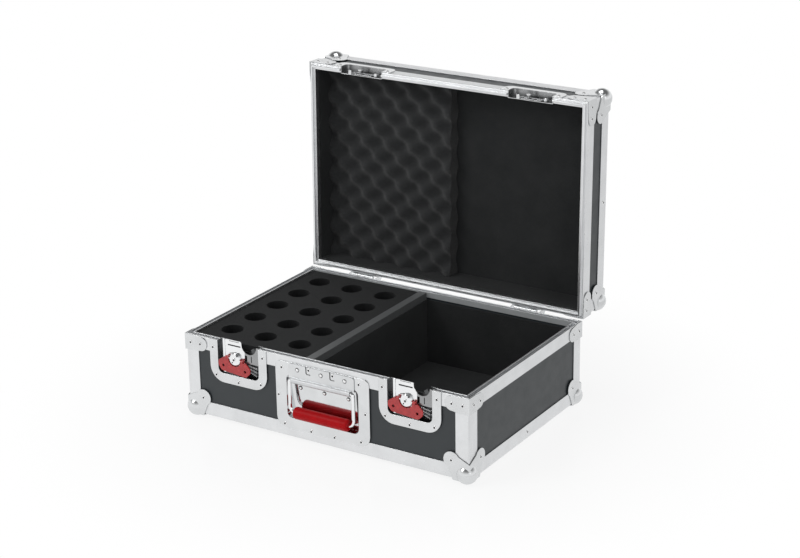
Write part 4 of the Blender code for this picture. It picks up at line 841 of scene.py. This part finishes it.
def cover_lip(side):
    """The folded strip along the left of a cover plate."""
    bm = bmesh.new()
    right = COVER_EDGE - LIP_GAP
    face = latch_outline(side, rectangle(LIP_LEFT, LIP_BOTTOM, right, LIP_TOP))
    prism(bm, face, FRONT + COVER_FRONT, FRONT + COVER_BACK)
    web = latch_outline(side, rectangle(LIP_LEFT, LIP_BOTTOM, COVER_EDGE, LIP_WALL_TOP))
    prism(bm, web, FRONT + COVER_BACK, FRONT + LIP_BACK)
    wall = latch_outline(side, rectangle(LIP_LEFT, LIP_BOTTOM, LIP_LEFT + LIP_WALL, LIP_WALL_TOP))
    prism(bm, wall, FRONT + LIP_BACK, FRONT + LIP_FOOT)
    bevelled(soften(piece(f"cover_lip_{side}", bm, ["chrome"], "base")), EDGE_ROUNDING)


def coil(start, end):
    """Points of a spring's helix between two points, with straight leads to what holds its ends."""
    along = end - start
    turn = along.to_track_quat("Z", "Y").to_matrix()
    lead = along.normalized() * SPRING_LEAD
    points = [start - lead]
    count = SPRING_TURNS * SPRING_STEPS
    for index in range(count + 1):
        share = index / count
        angle = math.tau * SPRING_TURNS * share
        ring = turn @ Vector((SPRING_RADIUS * math.cos(angle), SPRING_RADIUS * math.sin(angle), 0))
        points.append(start + along * share + ring)
    points.append(end + lead)
    return points


def latch_springs(side):
    """The small coil springs that lie beside a latch's wing."""
    bm = bmesh.new()
    for ends in SPRINGS:
        start, end = [latch_point(side, across, up, SPRING_BACK) for across, up in ends]
        tube(bm, coil(start, end), SPRING_WIRE, SPRING_WIRE_SIDES)
    soften(piece(f"latch_springs_{side}", bm, ["steel"], "base"))


# Keepers: places are across from the latch's middle and up from the shut lid's rim

KEEPER_PLATE = (-0.0215, 0.0030, 0.0195, 0.0145)
KEEPER_PLATE_FRONT = 0.0086
KEEPER_PLATE_BACK = 0.0102
KEEPER_GROOVE = (-0.0190, 0.0058, 0.0170, 0.0112)
KEEPER_EAR = (-0.0228, 0.0004, -0.0172, 0.0014)
KEEPER_EAR_FRONT = 0.0026
KEEPER_BOSS = (0.0240, 0.0112)
KEEPER_BOSS_PROFILE = ((0.0045, 0.0), (0.0045, 0.0030), (0.0041, 0.0036), (0.0034, 0.0038))
KEEPER_BOSS_BACK = 0.0102


def keeper_trim(side):
    """The grooved plate, the ear and the screw boss on a keeper dish's floor."""
    bm = bmesh.new()

    def slab(outline, near, far, material=0):
        """Adds a flat part of the trim in the shut lid."""
        prism(bm, latch_outline(side, rectangle(*outline), LID_RIM), FRONT + near, FRONT + far, material)

    left, low, right, high = KEEPER_PLATE
    inner_left, inner_low, inner_right, inner_high = KEEPER_GROOVE
    middle = (KEEPER_PLATE_FRONT + KEEPER_PLATE_BACK) / 2
    bars = (
        (left, low, right, inner_low),
        (left, inner_high, right, high),
        (left, inner_low, inner_left, inner_high),
        (inner_right, inner_low, right, inner_high),
    )
    # Painted shade: the groove's floor near black
    slab(KEEPER_PLATE, middle, KEEPER_PLATE_BACK, 1)
    for bar in bars:
        slab(bar, KEEPER_PLATE_FRONT, middle)
    slab(KEEPER_EAR, KEEPER_EAR_FRONT, KEEPER_PLATE_BACK)
    x, z = latch_outline(side, [KEEPER_BOSS], LID_RIM)[0]
    turned(bm, KEEPER_BOSS_PROFILE, facing((x, FRONT + KEEPER_BOSS_BACK, z), OUTWARD))
    bmesh.ops.transform(bm, matrix=LID_SWING, verts=bm.verts)
    made = piece(f"keeper_trim_{side}", bm, ["steel", "dark_steel_and_painted_shade"], "lid")
    bevelled(soften(made), EDGE_ROUNDING)
    head = facing((x, FRONT + KEEPER_BOSS_BACK - KEEPER_BOSS_PROFILE[-1][1], z), OUTWARD)
    cross_screw(f"keeper_screw_{side}", "lid", LID_SWING @ head)


def latch_hardware(side):
    """A latch's and its keeper's rivets, screws, springs, cover lip and trim."""
    rivets(f"rivets_latch_{side}", "base", on_front(latch_outline(side, LATCH_RIVETS), FLANGE_FACE))
    places = on_front(latch_outline(side, KEEPER_RIVETS, LID_RIM), FLANGE_FACE)
    rivets(f"rivets_keeper_{side}", "lid", on_lid(places))
    cross_screw(f"latch_screw_{side}", NODES[f"latch_cam_{side}"]["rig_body"], boss_place(side))
    cover_lip(side)
    latch_springs(side)
    keeper_trim(side)


# Handle: places are the scene's x and z

HANDLE_RIVETS = (
    (-0.0737, 0.1222),
    (0.0680, 0.1232),
    (-0.0808, 0.0755),
    (0.0790, 0.0764),
    (-0.0710, 0.0282),
    (0.0700, 0.0286),
    (-0.0216, 0.0251),
    (0.0216, 0.0251),
)
PLATE_STRETCH = 0.0035
PLATE_STRETCH_FROM = 0.1235
PLATE_FACE = 0.0031
PLATE_POPS = ((-0.0220, 0.1280), (0.0220, 0.1280))
PLATE_DOMES = ((-0.0434, 0.1240), (0.0, 0.1240), (0.0434, 0.1240))
PLATE_HOLE = 0.0037
# From the rivet they belong to
PLATE_SLOTS = (
    ((-0.0051, 0.0050), (-0.0050, -0.0066), 0.0018),
    ((-0.0048, -0.0060), (-0.0032, -0.0079), 0.0016),
    ((-0.0030, -0.0075), (0.0028, -0.0075), 0.0013),
)
DISH_DOMES = ((-0.0441, 0.0913), (0.0, 0.0913), (0.0441, 0.0913))
DISH_DOME_RADIUS = 0.0034
DISH_DEPTH_LOW = (0.0390, 0.0105)
DISH_DEPTH_HIGH = (0.1140, 0.0037)


def plate_carving():
    """The slots beside the handle plate's rivets and the rings round its domed ones, in painted shade."""
    cutter = bmesh.new()
    levels = (FRONT - PLATE_FACE - LIP_GAP, FRONT)
    for x, z in PLATE_POPS:
        for start, end, width in PLATE_SLOTS:
            outline = [(x + across, z + up) for across, up in strip(start, end, width)]
            prism(cutter, outline, *levels, 1)
    for x, z in PLATE_DOMES:
        outline = [(x + across, z + up) for across, up in circle(PLATE_HOLE, RIVET_SEGMENTS)]
        prism(cutter, outline, *levels, 1)
    return cutter


def handle_hardware():
    """The rivets of the handle's dish and plate."""
    rivets("rivets_handle_dish", "base", on_front(HANDLE_RIVETS, FLANGE_FACE))
    domes = on_front(PLATE_DOMES, FLANGE_FACE)
    rivets("rivets_handle_plate_domed", "base", domes, shape=tall_dome_rivet)
    rivets("rivets_handle_plate", "base", on_front(PLATE_POPS, PLATE_FACE - TINY))
    low, deep = DISH_DEPTH_LOW
    high, shallow = DISH_DEPTH_HIGH
    lean = Vector((0, low - high, shallow - deep)).normalized()
    places = []
    for x, z in DISH_DOMES:
        depth = deep + (shallow - deep) * (z - low) / (high - low)
        places.append(((x, FRONT + depth - TINY, z), lean))
    rivets("rivets_dish_back", "base", places, shape=ringed_dome_rivet, radius=DISH_DOME_RADIUS)


# Where a node's faces take painted shade, painted light or the rolled metal

DISH_FLOOR_DEPTH = 0.0088
DISH_WALL_DEPTH = 0.0030
DISH_WALL_TOP = -0.0450
DISH_STRIP = 0.0585
ARM_STARTS = 0.0121
COVER_FOOT = -0.0488
CLAW_STARTS = 0.0112
KEEPER_FLOOR_DEPTH = 0.0080
KEEPER_WALL_DEPTH = 0.0040
RIM_LEG_DEPTH = 0.01017
KNUCKLE_TOP = 0.1096
KNUCKLE_FOOT = 0.1030


def part(bm, place, across):
    """Divides the faces that a plane runs through."""
    geometry = bm.verts[:] + bm.edges[:] + bm.faces[:]
    bmesh.ops.bisect_plane(bm, geom=geometry, plane_co=place, plane_no=across)


def prepare(bm, node):
    """Brings the handle plate up to the flange's top, and divides faces painted with shade in part."""
    if node == "handle_plate":
        for vertex in bm.verts:
            if vertex.co.z > PLATE_STRETCH_FROM:
                vertex.co.z += PLATE_STRETCH
    if node.startswith("latch_cover"):
        place = latch_point(node.rsplit("_", 1)[1], ARM_STARTS, COVER_FOOT, 0)
        part(bm, place, (1, 0, 0))
        part(bm, place, (0, 0, 1))
    if node == "handle_dish":
        part(bm, (DISH_STRIP, 0, 0), (1, 0, 0))


def tone(made, look, wanted):
    """Gives another metal to the faces whose middles are wanted; the walls of cuts keep theirs."""
    made.data.materials.append(LOOKS[look])
    index = len(made.data.materials) - 1
    for face in made.data.polygons:
        if face.material_index == 0 and wanted(face.center):
            face.material_index = index


def tone_latch(made, node):
    """Painted shade on a latch: its dish's floor and lower wall, its cover's arm and foot, and its claw.
    """
    side = node.rsplit("_", 1)[1]
    arm = latch_point(side, ARM_STARTS, 0, 0).x
    foot = RIM + COVER_FOOT
    back = FRONT + COVER_BACK
    boss = latch_point(side, *CAM_PLACE, 0)
    wall_top = RIM + DISH_WALL_TOP
    # Painted shade: the dish's floor, and its walls below the wing, dark
    if node.startswith("latch_dish"):
        tone(
            made,
            "dark_painted_shade",
            lambda point: point.y > FRONT + (DISH_WALL_DEPTH if point.z < wall_top else DISH_FLOOR_DEPTH),
        )
    # Painted shade: the cover's arm right of the boss grey, its foot under the wing dark
    if node.startswith("latch_cover"):
        tone(made, "grey_painted_shade", lambda point: point.x > arm)
        tone(made, "dark_painted_shade", lambda point: point.z < foot)
    # Painted shade: the claw, tucked in behind the cover, dark
    if node.startswith("latch_cam"):
        tone(made, "dark_painted_shade", lambda point: point.y > back and (point - boss).xz.length > CLAW_STARTS)


def tone_faces(made, node):
    """Gives the rolled knuckle a rougher metal; paints shade, and light on the rim's leg, as other
    metals.
    """
    tone_latch(made, node)
    # Painted shade: the dish's back to the right of the bail dark
    if node == "handle_dish":
        wall = FRONT + DISH_WALL_DEPTH
        tone(made, "dark_painted_shade", lambda point: point.x > DISH_STRIP and point.y > wall)
    # Painted shade: the keeper dish's floor dark and its walls grey
    if node.startswith("keeper"):
        tone(made, "dark_painted_shade", lambda point: (LID_SHUT @ point).y > FRONT + KEEPER_FLOOR_DEPTH)
        tone(made, "grey_painted_shade", lambda point: (LID_SHUT @ point).y > FRONT + KEEPER_WALL_DEPTH)
    # Painted light: the rim's inner leg a lighter, half-bare grey
    if node == "base_rim":
        inner = BACK - RIM_LEG_DEPTH
        top = RIM - EDGE_ROUNDING
        tone(made, "half_bare_painted_light", lambda point: abs(point.y - inner) < EDGE_ROUNDING and point.z < top)
    # Painted shade greys the plate below its knuckle and along its top edge
    if node == "handle_plate":
        tone(made, "grey_painted_shade", lambda point: point.z < KNUCKLE_FOOT)
        tone(made, "rolled", lambda point: point.z < KNUCKLE_TOP)
        edge = max(vertex.co.z for vertex in made.data.vertices) - EDGE_ROUNDING
        tone(made, "grey_painted_shade", lambda point: point.z > edge)


def carving(node):
    """What is cut out of a node's refined copy, or nothing."""
    if node == "handle_plate":
        return plate_carving()
    if node.startswith("latch_cover"):
        return cover_carving(node.rsplit("_", 1)[1])
    if node.startswith("latch_cam"):
        return cam_carving(node.rsplit("_", 1)[1])
    return None


# Foam

MIC_COLUMNS = 3
MIC_ROWS = 5
MIC_PITCH_X_SHARE = 0.3078
MIC_PITCH_Y_SHARE = 0.1857
MIC_HOLE_RADIUS = 0.018
MIC_HOLE_SEGMENTS = 56
FOAM_FLOOR = 0.008
FOAM_ROUNDING = 0.0011
FOAM_ROUNDING_STEPS = 3
EGG_PITCH = 0.023
EGG_HEIGHT = 0.014
EGG_BACKING = 0.014
EGG_EDGE_WAVE = 0.0035
EGG_STEP = 0.0027


def foam_block():
    """The block with the microphones' holes, its rims softly rounded."""
    low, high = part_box("foam_insert")
    body = NODES["foam_insert"]["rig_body"]
    bm = bmesh.new()
    prism(bm, rectangle(low.x, low.z, high.x, high.z), low.y, high.y)
    made = piece("foam_block", bm, ["foam", "foam"], body)
    cutter = bmesh.new()
    middle = (low + high) / 2
    pitch_x = (high.x - low.x) * MIC_PITCH_X_SHARE
    pitch_y = (high.y - low.y) * MIC_PITCH_Y_SHARE
    profile = ((MIC_HOLE_RADIUS, low.z + FOAM_FLOOR), (MIC_HOLE_RADIUS, high.z + FOAM_FLOOR))
    for column in range(MIC_COLUMNS):
        for row in range(MIC_ROWS):
            x = middle.x + (column - (MIC_COLUMNS - 1) / 2) * pitch_x
            y = middle.y + (row - (MIC_ROWS - 1) / 2) * pitch_y
            turned(cutter, profile, Matrix.Translation((x, y, 0)), MIC_HOLE_SEGMENTS)
    carve(made, cutter)
    bevelled(soften(made), FOAM_ROUNDING, FOAM_ROUNDING_STEPS)
    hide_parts("foam_insert")


def egg_pad():
    """The egg-crate pad in the lid: soft peaks on a flat backing, cut wavy on its right side."""
    low, high = shut_box("lid_foam")
    middle = (low + high) / 2
    half = (high - low) / 2
    bm = bmesh.new()
    across = round(2 * half.x / EGG_STEP)
    along = round(2 * half.y / EGG_STEP)
    bmesh.ops.create_grid(bm, x_segments=across, y_segments=along, size=1)
    for vertex in bm.verts:
        x = vertex.co.x * half.x
        y = vertex.co.y * half.y
        peak = math.cos(math.pi * x / EGG_PITCH) * math.cos(math.pi * y / EGG_PITCH)
        if vertex.co.x > 1 - 1 / across:
            x -= EGG_EDGE_WAVE * (1 + math.cos(math.pi * y / EGG_PITCH)) / 2
        depth = EGG_BACKING + EGG_HEIGHT * (1 + peak) / 2
        vertex.co = (middle.x + x, middle.y + y, high.z - depth)
    wall = bmesh.ops.extrude_edge_only(bm, edges=[edge for edge in bm.edges if edge.is_boundary])
    for item in wall["geom"]:
        if isinstance(item, bmesh.types.BMVert):
            item.co.z = high.z
        # Painted shade: the cut walls take the darker foam
        if isinstance(item, bmesh.types.BMFace):
            item.material_index = 1
    bmesh.ops.holes_fill(bm, edges=[edge for edge in bm.edges if edge.is_boundary])
    bmesh.ops.transform(bm, matrix=LID_SWING, verts=bm.verts)
    made = piece("egg_pad", bm, ["foam_pad", "foam_painted_shade"], NODES["lid_foam"]["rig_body"])
    soften(made, FOAM_CREASE)
    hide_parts("lid_foam")


# Studio

def camera():
    """The camera of the photograph."""
    data = bpy.data.cameras.new("camera")
    data.lens = CAMERA_LENS_MM
    data.sensor_width = CAMERA_SENSOR_MM
    data.clip_end = CAMERA_REACH
    made = bpy.data.objects.new("camera", data)
    bpy.context.scene.collection.objects.link(made)
    aim = CAMERA_AHEAD.to_track_quat("-Z", "Y").to_matrix().to_4x4()
    made.matrix_world = Matrix.Translation(CAMERA_PLACE) @ aim @ Matrix.Rotation(CAMERA_ROLL, 4, "Z")
    bpy.context.scene.camera = made


def lamp(name, place, size, power):
    """A square soft box that looks at the case."""
    data = bpy.data.lights.new(name, "AREA")
    data.size = size
    data.energy = power
    made = bpy.data.objects.new(name, data)
    bpy.context.scene.collection.objects.link(made)
    made.location = place
    made.rotation_euler = (LAMP_AIM - Vector(place)).to_track_quat("-Z", "Y").to_euler()


def world():
    """Even pale light: white round the horizon to the eye and in gloss, under a darker ceiling."""
    made = bpy.data.worlds.new("studio")
    bpy.context.scene.world = made
    made.use_nodes = True
    tree = made.node_tree
    back = tree.nodes["Background"]
    back.inputs["Color"].default_value = WORLD_COLOUR
    source = add(tree, "ShaderNodeTexCoord")
    height = axis_value(tree, source.outputs["Generated"], "Z")
    levels = (BACKDROP_LEVEL, CEILING_LEVEL)
    ceiling = ramp(tree, height, *levels, CEILING_STARTS, CEILING_ENDS, "SMOOTHSTEP")
    path = add(tree, "ShaderNodeLightPath")
    gloss = blended(tree, path.outputs["Is Glossy Ray"], WORLD_LEVEL, ceiling)
    seen = blended(tree, path.outputs["Is Camera Ray"], gloss, BACKDROP_LEVEL)
    tree.links.new(seen, back.inputs["Strength"])


def floor_material():
    """Pale glossy floor that turns into the white backdrop, dimmer in gloss towards the right."""
    made, tree, shader = new_material("floor")
    shader.inputs["Base Color"].default_value = (*FLOOR_COLOUR, 1)
    shader.inputs["Roughness"].default_value = FLOOR_ROUGHNESS
    source = add(tree, "ShaderNodeTexCoord")
    place = source.outputs["Object"]
    far = add(tree, "ShaderNodeVectorMath", operation="LENGTH")
    tree.links.new(place, far.inputs[0])
    levels = (FLOOR_GLOW, BACKDROP_LEVEL)
    fade = ramp(tree, far.outputs["Value"], *levels, FLOOR_NEAR, FLOOR_FAR, "SMOOTHSTEP")
    across = axis_value(tree, place, "X")
    levels = (BACKDROP_LEVEL, FLOOR_DIM)
    dimmed = ramp(tree, across, *levels, FLOOR_DIM_STARTS, FLOOR_DIM_ENDS, "SMOOTHSTEP")
    path = add(tree, "ShaderNodeLightPath")
    glossy = path.outputs["Is Glossy Ray"]
    white = add(tree, "ShaderNodeEmission")
    tree.links.new(blended(tree, glossy, BACKDROP_LEVEL, dimmed), white.inputs["Strength"])
    seen = combined(tree, "MAXIMUM", path.outputs["Is Camera Ray"], glossy)
    mix = add(tree, "ShaderNodeMixShader")
    tree.links.new(combined(tree, "MULTIPLY", fade, seen), mix.inputs["Fac"])
    tree.links.new(shader.outputs[0], mix.inputs[1])
    tree.links.new(white.outputs[0], mix.inputs[2])
    tree.links.new(mix.outputs[0], tree.nodes["Material Output"].inputs["Surface"])
    return made


def floor():
    """The floor the case stands on."""
    bm = bmesh.new()
    bmesh.ops.create_grid(bm, x_segments=1, y_segments=1, size=FLOOR_SIZE / 2)
    mesh = bpy.data.meshes.new("floor")
    bm.to_mesh(mesh)
    bm.free()
    mesh.materials.append(floor_material())
    made = bpy.data.objects.new("floor", mesh)
    bpy.context.scene.collection.objects.link(made)


# By finish: a slot name, and the edge rounding in metres that the refined copies get
REFINED = {
    "extrusion": ("aluminium", 0.0005),
    "steel": ("steel", 0.0003),
    "pressed": ("aluminium", 0.0003),
    "polished": ("aluminium", 0.0003),
    "satin": ("steel", 0.0003),
    "chrome": ("chrome", 0.0003),
    "red_paint": ("red_plastic", 0.0004),
    "red_rubber": ("red_rubber", 0.0002),
}


def refine_metalwork():
    """Rounded copies of the metal parts that show, the wings and the grip."""
    for node in sorted(NODES):
        look = finish_of(node)
        if look in REFINED and node != "handle_spring":
            slot, width = REFINED[look]
            if "ball" in node:
                slot = "chrome"
            refined(node, width)


camera()
world()
for settings in LAMPS:
    lamp(*settings)
floor()
refine_metalwork()
corner_rivets()
edge_rivets()
for latch_side in SIDES:
    latch_hardware(latch_side)
handle_hardware()
foam_block()
egg_pad()

bpy.context.scene.view_settings.view_transform = "Standard"
